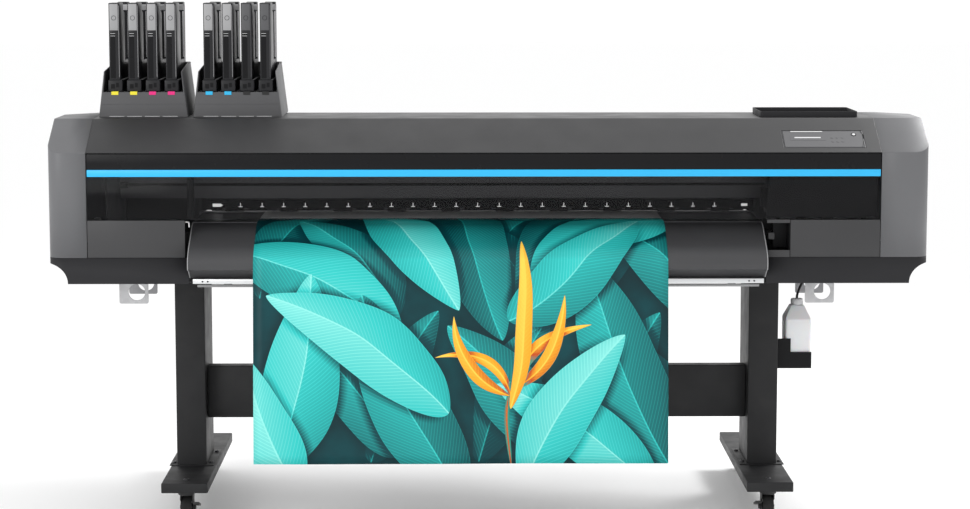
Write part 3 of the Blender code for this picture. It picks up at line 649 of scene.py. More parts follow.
def self_coloured(name, base, roughness=0.35, painted_emission=0.0):
    """Glossy self-coloured plastic with slight unevenness, for tabs, marks and the stripe. Its last
    argument makes the part shine by itself, as painted light; the pressure-bar marks use it.
    """
    r = Recipe(name)
    tone = r.mix(r.range(r.noise(35.0, 4.0), 0.35, 0.7, 0.0, 0.10), base,
                 tuple(c * 0.75 for c in base))
    rough = r.range(r.noise(140.0, 3.0), 0.3, 0.7, roughness - 0.05, roughness + 0.06)
    # Emission here is painted light: the part shines though it is no lamp.
    r.feed(r.shader.inputs["Emission Color"], tone)
    return r.finish(tone, rough, r.bump(r.noise(420.0), 0.04, 0.0003), Specular_IOR_Level=0.4,
                    Emission_Strength=painted_emission)


def cardboard(name):
    r = Recipe(name)
    fibre = r.noise(1.0, 5.0, r.stretch((30.0, 500.0, 500.0)))
    tone = r.mix(fibre, (0.30, 0.21, 0.13), (0.42, 0.31, 0.20))
    return r.finish(tone, 0.85, r.bump(fibre, 0.2, 0.0004))


def pale_floor(name):
    r = Recipe(name)
    tone = r.mix(r.range(r.noise(0.8, 4.0), 0.3, 0.7, 0.0, 0.06), (0.96, 0.96, 0.96),
                 (0.93, 0.93, 0.93))
    return r.finish(tone, 0.75, Specular_IOR_Level=0.1)


# Each finish: its recipe, then what the recipe takes. A word in place of the base colour is one
# of the colours above. The aluminium recipe isn't used: the frame has a material of that very
# name, and finish_of gives that one.
FINISHES = {
    "side_plastic": (moulded, "side", 0.42),
    "hood_plastic": (moulded, "hood", 0.40, 0.10, 0.34),
    "panel_plastic": (moulded, "panel", 0.48),
    "skirt_plastic": (moulded, "skirt", 0.52, 0.10, 0.15),
    "guide_plastic": (moulded, (0.050, 0.050, 0.053), 0.42),
    "module_plastic": (moulded, "module", 0.50),
    "black_plastic": (moulded, "black", 0.45, 0.10, 0.15),
    "cover_gloss": (moulded, "black", 0.24, 0.02, 0.14),
    "panel_face": (moulded, (0.090, 0.090, 0.095), 0.45, 0.03, 0.35),
    "cassette_plastic": (moulded, (0.016, 0.016, 0.018), 0.34, 0.06, 0.25),
    "caster_plastic": (moulded, (0.020, 0.020, 0.021), 0.45),
    "button_plastic": (moulded, (0.650, 0.650, 0.660), 0.35, 0.03),
    "label_grey": (moulded, (0.300, 0.300, 0.305), 0.40, 0.05, 0.4, 0.4),
    "pale_grey": (moulded, (0.620, 0.620, 0.630), 0.35, 0.05),
    "stand_paint": (coated, "stand"),
    "bed_steel": (coated, (0.020, 0.020, 0.022), 0.45),
    "zinc_plate": (zinc, (0.53, 0.53, 0.54)),
    # A darker copy of the zinc for the brackets' rear faces: painted shade.
    "dull_zinc": (zinc, (0.30, 0.30, 0.31)),
    "aluminium": (brushed, (0.19, 0.192, 0.195), 0.45),
    "rail_metal": (brushed, (0.11, 0.11, 0.115), 0.34, 0.8),
    "bolt_steel": (brushed, (0.12, 0.12, 0.125), 0.35, 0.9, (200.0, 200.0, 200.0)),
    "platen_metal": (bed_plate,),
    "black_rubber": (rubber, (0.012, 0.012, 0.012)),
    "wheel_rubber": (rubber, (0.016, 0.016, 0.016), 1800.0),
    "smoked_window": (smoked,),
    "milky_plastic": (milky,),
    "white_film": (rolled_film,),
    "film_back": (self_coloured, (0.82, 0.82, 0.82), 0.42),
    "printed_film": (printed,),
    "accent_blue": (self_coloured, "accent"),
    # White used for painted highlights: the display's top edge and the front guide's corner.
    "mark_white": (self_coloured, (0.80, 0.80, 0.80)),
    # The pressure-bar marks shine by themselves as painted light, so they read bright inside the
    # dark machine.
    "lit_mark": (self_coloured, (0.90, 0.90, 0.90), 0.35, 1.1),
    "tab_yellow": (self_coloured, (0.900, 0.780, 0.040)),
    "tab_magenta": (self_coloured, (0.850, 0.020, 0.230)),
    "tab_cyan": (self_coloured, (0.030, 0.500, 0.860)),
    "tab_black": (self_coloured, (0.012, 0.012, 0.012)),
    "cardboard": (cardboard,),
    "floor_paint": (pale_floor,),
}


def finish_of(key):
    """Makes a finish the first time it is asked for."""
    name = key.replace("_", " ")
    if name in bpy.data.materials:
        return bpy.data.materials[name]
    recipe, *given = FINISHES[key]
    if given and isinstance(given[0], str):
        given[0] = tuple(getattr(bpy.context.scene.printer_colours, given[0]))
    return recipe(name, *given)


def keep(finish, *nodes):
    """Gives carried-over frame nodes their finish."""
    for node in nodes:
        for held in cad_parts[node].material_slots:
            held.material = finish_of(finish)


def boxed(node, finish, body, radius, name=None, rounds=3):
    """A box with rounded edges in place of a plain one."""
    shape = soften(cube(*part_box(node)), radius, rounds)
    return piece(name or f"{node}_cover", shape, finish, body, node)


def screw(axis, start, centre, radius=0.004, height=0.0022):
    """A low socket-head screw that stands on a face."""
    end = start + height
    line = [(0, start), (radius, start), (radius, end - height * 0.3), (radius * 0.85, end),
            (radius * 0.45, end), (radius * 0.45, end - height * 0.6), (0, end - height * 0.6)]
    return turned(line, axis, centre, 12)


# ---------------------------------------------------------------- stage
class PRINTER_OT_stage(bpy.types.Operator):
    """Pale floor, soft studio lights and the camera"""

    bl_idname = "printer.stage"
    bl_label = "Stage"

    def execute(self, context):
        shape = bmesh.new()
        bmesh.ops.create_grid(shape, x_segments=8, y_segments=8, size=45)
        mesh = bpy.data.meshes.new("studio_floor")
        shape.to_mesh(mesh)
        shape.free()
        mesh.materials.append(finish_of("floor_paint"))
        floor = bpy.data.objects.new("studio_floor", mesh)
        context.scene.collection.objects.link(floor)

        world = bpy.data.worlds.new("studio")
        world.use_nodes = True
        sky = world.node_tree.nodes["Background"].inputs
        sky["Color"].default_value = (1.0, 1.0, 1.0, 1)
        sky["Strength"].default_value = 1.04
        context.scene.world = world
        context.scene.view_settings.view_transform = "Standard"
        self.light(context, "overhead", (0.6, 0.6, 4.2), (0.2, 0.0, 1.0), (4.0, 2.0), 15)
        self.light(context, "rear_right", (2.6, 1.3, 3.0), (1.0, -0.3, 1.2), (1.2, 1.0), 75)
        self.light(context, "front_left", (-3.4, -3.6, 2.0), (-0.9, -0.4, 0.9), (2.0, 2.0), 45)

        lens = bpy.data.cameras.new("camera")
        lens.lens = 90.93
        lens.sensor_width = 36.0
        lens.clip_end = 200.0
        camera = bpy.data.objects.new("camera", lens)
        camera.location = (-0.0757, -7.9086, 1.7466)
        camera.rotation_euler = (math.pi / 2 - 0.1196, 0.0002, -0.0094)
        context.scene.collection.objects.link(camera)
        context.scene.camera = camera
        return {"FINISHED"}

    def light(self, context, name, place, target, size, power):
        data = bpy.data.lights.new(name, "AREA")
        data.shape = "RECTANGLE"
        data.size, data.size_y = size
        data.energy = power
        lamp = bpy.data.objects.new(name, data)
        lamp.location = place
        aim = Vector(target) - Vector(place)
        lamp.rotation_euler = aim.to_track_quat("-Z", "Y").to_euler()
        context.scene.collection.objects.link(lamp)


# ---------------------------------------------------------------- body
class PRINTER_OT_end_covers(bpy.types.Operator):
    """Side covers with a round front corner, and the hollow-ended skirts under them"""

    bl_idname = "printer.end_covers"
    bl_label = "End covers"

    def end_block(self, side, part, corner):
        """The plan of an end, extruded to the height of a node, drawn for the right."""
        low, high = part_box(f"{side}_{part}")
        inner = low.x if side == "right" else -high.x
        outer = high.x if side == "right" else -low.x
        chamfer = 0.097
        plan = [(inner, FRONT), (outer, FRONT), (outer, BACK - chamfer), (outer - chamfer, BACK),
                (inner, BACK)]
        shape = prism(plan, "Z", low.z, high.z)
        soften(shape, corner, 12, lambda m,
               d: abs(d.z) > 0.9 and m.y < FRONT + 0.01 and m.x > inner + 0.02)
        soften(shape, 0.010, 4, lambda m,
               d: abs(d.z) > 0.9 and m.y > BACK - 0.11 and m.x > inner + 0.1, 30)
        return shape, inner

    def open_up(self, shape, *ways):
        """Takes away the faces that point in the given directions."""
        shape.normal_update()
        gone = [face for face in shape.faces if any(face.normal.dot(way) > 0.99 for way in ways)]
        bmesh.ops.delete(shape, geom=gone, context="FACES")

    def execute(self, context):
        sizes = context.scene.printer_sizes
        down = Vector((0, 0, -1))
        inward = Vector((-1, 0, 0))
        for side in ("left", "right"):
            shape, inner = self.end_block(side, "side_cover", sizes.corner)
            sliced(shape, (0, FRONT, LIP), (0, -math.sin(SLOPE), math.cos(SLOPE)))
            shape.normal_update()
            soften(shape, 0.0025, 3, lambda m, d: m.z > LIP - 0.002 and m.x > inner + 0.001, 12)
            self.open_up(shape, down, inward)
            if side == "left":
                mirrored(shape)
            piece(f"{side}_end_cover", shape, "side_plastic", "machine", f"{side}_side_cover",
                  wall=sizes.wall)

            shape, inner = self.end_block(side, "bottom_cover", sizes.corner)
            outer = max(vertex.co.x for vertex in shape.verts)
            hollow = rod("Y", -0.60, 0.30, (outer, UNDERSIDE + 0.001), 0.060, 64)
            shape = carved(shape, hollow)
            soften(shape, 0.0015, 2, lambda m, d: m.z < UNDERSIDE + 0.001 and m.x > inner + 0.001,
                   30)
            self.open_up(shape, -down, inward, Vector((0, 1, 0)))
            if side == "left":
                mirrored(shape)
            piece(f"{side}_skirt", shape, "skirt_plastic", "machine", f"{side}_bottom_cover",
                  wall=sizes.wall)
        return {"FINISHED"}


class PRINTER_OT_hood(bpy.types.Operator):
    """Hood, control panel, power button and tool tray"""

    bl_idname = "printer.hood"
    bl_label = "Hood"

    def execute(self, context):
        sizes = context.scene.printer_sizes
        line = [(FRONT, LIP + 0.0006), (SLOPE_TOP, HOOD_TOP), (BACK, HOOD_TOP), (BACK, LIP)]
        shape = prism(folded(line, 0, -sizes.wall), "X", HOOD_LOW.x, HOOD_HIGH.x)
        soften(shape, sizes.crest, 5, lambda m, d: abs(d.x) > 0.9 and m.z > HOOD_TOP - 0.0005, 20)
        shape = carved(shape, on_slope(cube((0.9165, 0.025, -0.02), (1.1695, 0.123, 0.02))))
        piece("hood", shape, "hood_plastic", "machine", "top_hood", edge=sizes.edge)

        face = soften(cube((0.9175, 0.026, -0.010), (1.1685, 0.122, 0.0006)), 0.0015, 2)
        face = carved(face, rod("Z", -0.006, 0.010, (1.1395, 0.099), 0.0058, 24))
        frame_line = carved(cube((0.9195, 0.028, 0.0), (1.1665, 0.120, 0.0009)),
                            cube((0.9207, 0.0292, -0.01), (1.1653, 0.1188, 0.01)))
        screen = soften(cube((0.9400, 0.066, 0.0004), (1.0500, 0.0965, 0.0009)), 0.0012, 2,
                        lambda m, d: abs(d.z) > 0.9)
        # The thin white bar is a painted highlight on the display's top edge; the grey bar below it
        # stands for the logo.
        bars = [cube((0.9450, 0.1145, 0.0004), (1.0440, 0.1175, 0.0010)),
                cube((0.9540, 0.0780, 0.0010), (1.0350, 0.0840, 0.0014))]
        ring = turned([(0.0080, 0.0004), (0.0080, 0.0014), (0.0064, 0.0014), (0.0064, 0.0004),
                       (0.0080, 0.0004)], "Z", (1.1395, 0.099), 32)
        arc = [(1.1610, 0.118), (1.1660, 0.100), (1.1645, 0.060), (1.1590, 0.030)]
        rim = prism(folded(smooth_line(arc, 6), 0.0, 0.0012), "Z", 0.0004, 0.0012)
        keys = [turned([(0, 0.0004), (0.0045, 0.0004), (0.0042, 0.0011), (0, 0.0013)], "Z", (x, y),
                       20)
                for x in (1.070, 1.086, 1.102) for y in (0.060, 0.082)]
        face = together(face, painted(frame_line, 1), screen, painted(bars[0], 2),
                        painted(bars[1], 3),
                        painted(ring, 1), painted(rim, 1), *keys)
        piece("operator_panel", on_slope(face), "panel_face cover_gloss mark_white pale_grey",
              "machine", "control_panel", sharp=15)
        button = turned([(0, -0.0035), (0.0052, -0.0035), (0.0052, 0.0014), (0.0045, 0.0021),
                         (0, 0.0017)], "Z", (1.1395, 0.099), 32)
        piece("power_key", on_slope(button), "button_plastic", "power_button", "power_button")

        low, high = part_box("tool_tray")
        tray = soften(cube(low, high), 0.010, 5, along("Z"))
        well = soften(cube(low + Vector((0.003, 0.003, 0.003)),
                           high + Vector((-0.003, -0.003, 0.02))),
                      0.0075, 5, along("Z"))
        tray = soften(carved(tray, well), 0.0008, 2, lambda m, d: m.z > high.z - 0.001)
        piece("tray", tray, "skirt_plastic", "machine", "tool_tray")
        mat = soften(cube(low + Vector((0.005, 0.005, 0.0031)),
                          (high.x - 0.005, high.y - 0.005, low.z + 0.0045)),
                     0.006, 4, along("Z"))
        piece("tray_mat", mat, "black_rubber", "machine")
        return {"FINISHED"}


class PRINTER_OT_front_cover(bpy.types.Operator):
    """Hinged front cover: gloss rail, coloured stripe and smoked window"""

    bl_idname = "printer.front_cover"
    bl_label = "Front cover"

    def execute(self, context):
        sizes = context.scene.printer_sizes
        low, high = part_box("front_cover")
        top = low.z + sizes.accent + 0.0012
        rail = soften(cube((low.x, low.y, top), high), 0.002, 3)
        lip = cube((low.x, low.y + 0.006, low.z), (high.x, high.y, top + 0.002))
        piece("cover_rail", together(rail, lip), "cover_gloss", "hinged_cover", "front_cover")
        stripe = cube((low.x + 0.001, low.y + 0.0004, low.z + 0.0004),
                      (high.x - 0.001, low.y + 0.0055, top - 0.0006))
        piece("accent_stripe", soften(stripe, 0.0012, 2), "accent_blue", "hinged_cover")
        low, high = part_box("cover_window")
        pane = soften(cube(low, high), 0.0012, 2)
        piece("window", pane, "smoked_window", "hinged_cover", "cover_window")
        tabs = [soften(cube((x - 0.012, low.y + 0.0042, low.z),
                            (x + 0.012, low.y + 0.013, low.z + 0.007)), 0.0015)
                for x in (low.x + 0.030, high.x - 0.030)]
        piece("cover_lift_tabs", together(*tabs), "black_plastic", "hinged_cover")
        pillar = soften(cube((-0.9225, -0.392, 0.9560), (-0.9025, -0.366, 1.0850)), 0.003)
        edge = [(0.8620, 0.9560), (1.2060, 0.9560), (1.2060, 1.0850), (0.8720, 1.0850)]
        screen = soften(prism(edge, "Y", -0.3930, -0.3890), 0.001)
        piece("inner_screens", together(pillar, screen), "black_plastic", "machine")
        return {"FINISHED"}


class PRINTER_OT_front_panels(bpy.types.Operator):
    """Maintenance panels and the recess that the pressure lever sits in"""

    bl_idname = "printer.front_panels"
    bl_label = "Front panels"

    def execute(self, context):
        for side in ("left", "right"):
            low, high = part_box(f"{side}_maintenance_panel")
            door = soften(cube(low, high), 0.0015, 2)
            inside = cube((low.x + 0.012, high.y - 0.0005, low.z + 0.012),
                          (high.x - 0.012, high.y + 0.006, high.z - 0.020))
            piece(f"{side}_door", together(door, soften(inside, 0.001)), "panel_plastic",
                  f"{side}_panel", f"{side}_maintenance_panel")
        left = 0.8640
        right = 0.9350
        lips = [cube((left, FRONT, 0.8362), (right, FRONT + 0.003, 0.8580)),
                cube((left, FRONT, 0.9420), (right, FRONT + 0.003, 0.9528))]
        for lip in lips:
            soften(lip, 0.0009)
        piece("recess_lips", together(*lips), "panel_plastic", "machine")
        traps = [cube((start, y, z), (end, y + 0.002, z + height))
                 for start, end in ((-1.195, -0.940), (0.955, 1.195))
                 for y, z, height in ((FRONT + 0.022, 1.150, 0.015), (FRONT + 0.022, 0.828, 0.016))]
        traps += [cube((x - 0.020, 0.0570, 0.9370), (x + 0.020, 0.0590, 0.9800)) for x in (-0.905,
                                                                                           0.857)]
        piece("light_traps", together(*traps), "black_plastic", "machine")
        liner = together(cube((0.9335, FRONT + 0.0035, 0.859), (0.9348, -0.334, 0.941)),
                         cube((0.8925, -0.3345, 0.859), (0.9335, -0.3333, 0.941)),
                         cube((left, -0.2860, 0.859), (0.8925, -0.2848, 0.941)))
        piece("recess_liner", liner, "black_plastic", "machine")

        low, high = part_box("pressure_lever")
        arm = soften(prism([(-0.290, 0.893), (-0.290, 0.907), (-0.385, 0.904), (-0.385, 0.894)],
                           "X", 0.877, 0.883), 0.0015)
        boss = turned([(0, 0.873), (0.009, 0.873), (0.011, 0.875), (0.011, 0.885), (0.009, 0.887),
                       (0, 0.887)],
                      "X", (-0.300, 0.900), 24)
        grip = soften(cube((0.870, -0.398, 0.889), (0.890, -0.380, 0.911)), 0.004, 4)
        piece("lever", together(arm, boss, grip), "caster_plastic", "pressure_lever",
              "pressure_lever")
        return {"FINISHED"}


# ---------------------------------------------------------------- media path
FRONT_CURVE = [(-0.4725, 0.825), (-0.469, 0.838), (-0.4545, 0.8535), (-0.390, 0.893),
               (-0.335, 0.9245), (-0.301, 0.9335)]
REAR_CURVE = [(0.0235, 0.9345), (0.100, 0.930), (0.200, 0.905), (0.265, 0.872)]
HANGING_CURVE = [(-0.540, 0.215), (-0.524, 0.400), (-0.508, 0.550), (-0.490, 0.700)]
TURNED_BACK = [(-0.405, 0.773), (-0.452, 0.8015), (-0.470, 0.806)]
TURNED_DOWN = [(0.300, 0.835), (0.318, 0.790), (0.320, 0.765)]


class PRINTER_OT_guides(bpy.types.Operator):
    """Curved media guides, their end plates and the strips under the front one"""

    bl_idname = "printer.guides"
    bl_label = "Guides"

    def execute(self, context):
        low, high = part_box("front_guide")
        front = TURNED_BACK[:2] + smooth_line([TURNED_BACK[2], *FRONT_CURVE], 4)
        shape = prism(folded(front, 0, -0.003), "X", low.x + 0.003, high.x - 0.003)
        piece("front_media_guide", shape, "guide_plastic", "machine", "front_guide", sharp=20)
        ends = [prism(folded(front, 0.0012, -0.005), "X", x, x + 0.0028)
                for x in (low.x, high.x - 0.0028)]
        piece("guide_end_plates", soften(together(*ends), 0.0005, 1, sharper=60), "label_grey",
              "machine")
        # A white L at the left end of the front guide: a painted highlight on the guide's corner,
        # not a real clip.
        corner_highlight = together(cube((low.x - 0.012, -0.3985, 0.9440), (low.x + 0.001, -0.3900, 0.9470)),
                         cube((low.x - 0.002, -0.3985, 0.9300), (low.x + 0.001, -0.3900, 0.9470)))
        piece("guide_corner_clip", corner_highlight, "mark_white", "machine")
        rear = smooth_line(REAR_CURVE + TURNED_DOWN, 5)
        shape = prism(folded(rear, 0, -0.003), "X", low.x, high.x)
        piece("rear_media_guide", shape, "guide_plastic", "machine", "rear_guide", sharp=20)

        low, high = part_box("guide_strip")
        strip = soften(cube(low, high), 0.001)
        heads = []
        for x in (low.x + 0.030, low.x + 0.046, high.x - 0.046, high.x - 0.030):
            head = screw("Y", 0, (x, 0), 0.003, 0.0012)
            bmesh.ops.rotate(head, verts=head.verts, cent=(x, 0, 0),
                             matrix=Matrix.Rotation(math.pi, 3, "Z"))
            heads.append(moved(head, (0, low.y + 0.0002, (low.z + high.z) / 2)))
        piece("front_strip", together(strip, *(painted(head, 1) for head in heads)),
              "aluminium bolt_steel", "machine", "guide_strip")
        lamp = soften(cube((-0.895, -0.3860, 0.7415), (0.845, -0.3740, 0.7495)), 0.0015)
        feet = [cube((x - 0.012, -0.3840, 0.7490), (x + 0.012, -0.3760, 0.7583)) for x in (-0.80,
                                                                                           -0.02,
                                                                                           0.76)]
        piece("work_lamp_strip", together(lamp, *feet), "label_grey", "machine")
        return {"FINISHED"}


class PRINTER_OT_film(bpy.types.Operator):
    """The printed film, the supply roll with its core, and the two roll holders"""

    bl_idname = "printer.film"
    bl_label = "Film and roll"

    def execute(self, context):
        sizes = context.scene.printer_sizes
        low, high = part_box("media_roll")
        top = (low.y + high.y) / 2, high.z
        leave = Vector(REAR_CURVE[1])
        free = [tuple(leave.lerp(Vector(top), share)) for share in (0.15, 0.5, 1.0)]
        path = (smooth_line(HANGING_CURVE + FRONT_CURVE, 6) + [(-0.2995, 0.9345), (-0.0105, 0.9345)]
                + smooth_line(REAR_CURVE[:2] + free, 5))
        count = len(path)
        path = folded(path, 0.0011, 0.0012)[:count]
        shape = bmesh.new()
        left, right = low.x, high.x
        line = [shape.verts.new((left, *point)) for point in path]
        edges = [shape.edges.new(pair) for pair in zip(line, line[1:])]
        run = 0.0
        runs = {}
        for before, here in zip([line[0], *line], line):
            run += (here.co - before.co).length
            runs[tuple(round(c, 6) for c in here.co.yz)] = run
        columns = 40
        for _ in range(columns):
            grown = bmesh.ops.extrude_edge_only(shape, edges=edges)["geom"]
            edges = [item for item in grown if isinstance(item, bmesh.types.BMEdge)]
            edges = [edge for edge in edges if abs(edge.verts[0].co.x - edge.verts[1].co.x) < 1e-7]
            points = [item for item in grown if isinstance(item, bmesh.types.BMVert)]
            bmesh.ops.translate(shape, verts=points, vec=((right - left) / columns, 0, 0))
        across = shape.loops.layers.uv.new("film")
        for face in shape.faces:
            for loop in face.loops:
                co = loop.vert.co
                loop[across].uv = (co.x - left, runs[tuple(round(c, 6) for c in co.yz)])
        for vertex in shape.verts:
            slack = max(0.0, 0.800 - vertex.co.z) / 0.6
            wave = math.sin(vertex.co.x * 5.0 + 0.6) + 0.4 * math.sin(vertex.co.x * 13.0)
            vertex.co.y += 0.0035 * slack * (1.4 + wave)
        shape.normal_update()
        middle = min(shape.faces, key=lambda face: abs(face.calc_center_median().z - 0.4))
        if middle.normal.y > 0:
            bmesh.ops.reverse_faces(shape, faces=shape.faces)
        film = piece("film", shape, "printed_film film_back", "machine", "printed_media",
                     wall=sizes.film, sharp=60)
        film.modifiers["wall"].material_offset = 1

        centre = ((low.y + high.y) / 2, (low.z + high.z) / 2)
        radius = (high.z - low.z) / 2
        line = [(0.0381, left), (radius - 0.0006, left), (radius, left + 0.0006),
                (radius, right - 0.0006), (radius - 0.0006, right), (0.0381, right), (0.0381, left)]
        roll = turned(line, "X", centre, 96)
        core = turned([(0.0366, left - 0.003), (0.0380, left - 0.003), (0.0380, right + 0.003),
                       (0.0366, right + 0.003), (0.0366, left - 0.003)], "X", centre, 64)
        piece("film_roll", together(roll, painted(core, 1)), "white_film cardboard", "media_roll",
              "media_roll")

        for side, sign in (("left", -1), ("right", 1)):
            low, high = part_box(f"{side}_roll_holder")
            face = left - 0.0045 if side == "left" else right + 0.0045
            plate = [(0.3605, 0.735), (0.460, 0.715), (0.520, 0.742), (0.540, 0.785),
                     (0.520, 0.828),
                     (0.460, 0.850), (0.405, 0.838), (0.3605, 0.800)]
            span = sorted((face, face + sign * 0.024))
            shape = soften(prism(plate, "X", *span), 0.010, 4, along("X"))
            soften(shape, 0.002, 2, lambda m, d: abs(d.x) < 0.1)
            inner = face - sign * 0.050
            hub = turned([(0, inner), (0.032, inner), (0.0355, inner + sign * 0.006),
                          (0.0355, face),
                          (0.046, face), (0.046, face + sign * 0.003)], "X", centre, 48)
            outer = face + sign * 0.024
            knob = turned([(0.030, outer), (0.030, outer + sign * 0.004),
                           (0.024, outer + sign * 0.012),
                           (0.020, outer + sign * 0.014), (0, outer + sign * 0.014)], "X", centre,
                           32)
            clamp = soften(cube((span[0], 0.3610, 0.7480), (span[1], 0.3720, 0.7900)), 0.002)
            heads = [screw("X", outer if sign > 0 else outer - 0.0024, (y, z)) for y,
                     z in ((0.385, 0.76), (0.385, 0.81))]
            shape = together(shape, hub, knob, painted(clamp, 1),
                             *(painted(head, 1) for head in heads))
            piece(f"{side}_holder_plate", shape, "black_plastic bolt_steel", f"{side}_holder",
                  f"{side}_roll_holder")
        return {"FINISHED"}


class PRINTER_OT_print_table(bpy.types.Operator):
    """Platen, feed roller, and the pressure bar with its rollers and marks"""

    bl_idname = "printer.print_table"
    bl_label = "Print table"

    def execute(self, context):
        sizes = context.scene.printer_sizes
        keep("platen_metal", "platen")
        keep("aluminium", "feed_roller")
        left, right = -0.900, 0.850
        line = [(0.050, 0.978), (-0.018, 0.978), (-0.018, 0.950), (0.050, 0.950)]
        bar = soften(prism(folded(line, 0, 0.003), "X", left, right), 0.0012, 2, along("X"))
        rollers = []
        for index in range(10):
            middle = left + (right - left) * (index + 0.5) / 10
            start, end = middle - 0.030, middle + 0.030
            tread = turned([(0, start), (0.007, start), (0.009, start + 0.002),
                            (0.009, end - 0.002),
                            (0.007, end), (0, end)], "X", (0.010, 0.9454), 20)
            rollers += [painted(tread, 1),
                        painted(rod("X", start - 0.012, end + 0.012, (0.010, 0.9454), 0.003, 10),
                                2)]
        marks = []
        for index in range(sizes.marks):
            x = -0.792 + index * sizes.mark_pitch
            if x > right - 0.04:
                break
            marks += [cube((x - 0.0011, -0.0185, 0.9560), (x + 0.0011, -0.0179, 0.9670)),
                      cube((x - 0.0062, -0.0185, 0.9540), (x + 0.0062, -0.0179, 0.9562))]
        flag = prism([(-0.882, 0.955), (-0.856, 0.955), (-0.849, 0.960), (-0.856, 0.965),
                      (-0.882, 0.965)],
                     "Y", -0.0187, -0.0179)
        flag = together(flag, cube((0.8280, -0.0187, 0.9560), (0.8480, -0.0179, 0.9640)))
        flap = cube((left + 0.01, 0.0300, 0.9368), (right - 0.01, 0.0315, 0.9520))
        # The marks and the flag take the self-shining finish: painted light, not a lamp.
        shape = together(bar, flap, *rollers, painted(together(*marks, flag), 3))
        piece("pressure_rail", shape, "black_plastic black_rubber bolt_steel lit_mark",
              "pressure_bar", "pressure_bar")
        return {"FINISHED"}


class PRINTER_OT_carriage(bpy.types.Operator):
    """Rail, drive belt, print carriage, cutter and capping station"""

    bl_idname = "printer.carriage"
    bl_label = "Carriage"

    def execute(self, context):
        keep("rail_metal", "rail_beam")
        low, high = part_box("rail_beam")
        belts = [cube((low.x + 0.02, -0.0460, z),
                      (high.x - 0.02, -0.0445, z + 0.009)) for z in (1.0250, 1.0800)]
        pulley = turned([(0, 1.0200), (0.016, 1.0200), (0.016, 1.0230), (0.013, 1.0235),
                         (0.013, 1.0350),
                         (0.016, 1.0355), (0.016, 1.0385), (0, 1.0385)], "Z",
                         (low.x + 0.012, -0.0585), 24)
        piece("drive_belts", together(*belts, pulley), "black_rubber", "machine")
        strip = cube((low.x + 0.03, -0.0425, 1.0930), (high.x - 0.03, -0.0420, 1.1020))
        piece("encoder_strip", strip, "pale_grey", "machine")

        low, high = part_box("print_carriage")
        shell = cube((low.x, low.y, low.z + 0.022), high)
        soften(shell, 0.028, 4, lambda m, d: abs(d.x) > 0.9 and m.z > 1.1 and m.y < -0.2)
        soften(shell, 0.006, 3, lambda m, d: m.y < -0.06)
        ribs = [cube((low.x + 0.05 + 0.012 * i, low.y - 0.01, 1.000),
                     (low.x + 0.055 + 0.012 * i, low.y + 0.002, 1.070))
                for i in range(12)]
        shell = carved(shell, *ribs)
        heads = [soften(cube((x, low.y + 0.020, low.z), (x + 0.052, high.y - 0.030, low.z + 0.024)),
                        0.0015)
                 for x in (low.x + 0.020, low.x + 0.104, low.x + 0.188)]
        badge = soften(cube((low.x + 0.060, low.y - 0.0006, 1.085),
                            (high.x - 0.060, low.y + 0.002, 1.100)), 0.001)
        piece("carriage_cover", together(shell, *(painted(head, 1) for head in heads),
                                         painted(badge, 2)),
              "black_plastic aluminium pale_grey", "carriage", "print_carriage")

        low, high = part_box("cutter_holder")
        x = (low.x + high.x) / 2
        block = soften(cube((low.x, low.y, 0.968), high), 0.002)
        dial = turned([(0.010, high.z - 0.001), (0.010, high.z - 0.0003), (0, high.z - 0.0003)],
                      "Z", (x, -0.180), 20)
        blade = turned([(0, 0.950), (0.003, 0.955), (0.006, 0.975), (0, 0.975)], "Z", (x, -0.180),
                       20)
        piece("cutter_block", together(block, painted(dial, 1), painted(blade, 1)),
              "black_plastic bolt_steel", "cutter", "cutter_holder")

        keep("panel_plastic", "capping_station")
        caps = []
        for x in (0.920, 1.004, 1.088):
            rim = carved(soften(cube((x, -0.285, 0.9085), (x + 0.052, -0.095, 0.9380)), 0.004, 3,
                                along("Z")),
                         cube((x + 0.004, -0.281, 0.930), (x + 0.048, -0.099, 0.95)))
            caps.append(rim)
        piece("head_caps", together(*caps), "black_rubber", "machine")
        return {"FINISHED"}


# ---------------------------------------------------------------- ink supply
MODULES = {"left": (-1.0815, ("yellow", "yellow", "magenta", "magenta")),
           "right": (-0.7845, ("cyan", "cyan", "black", "black"))}


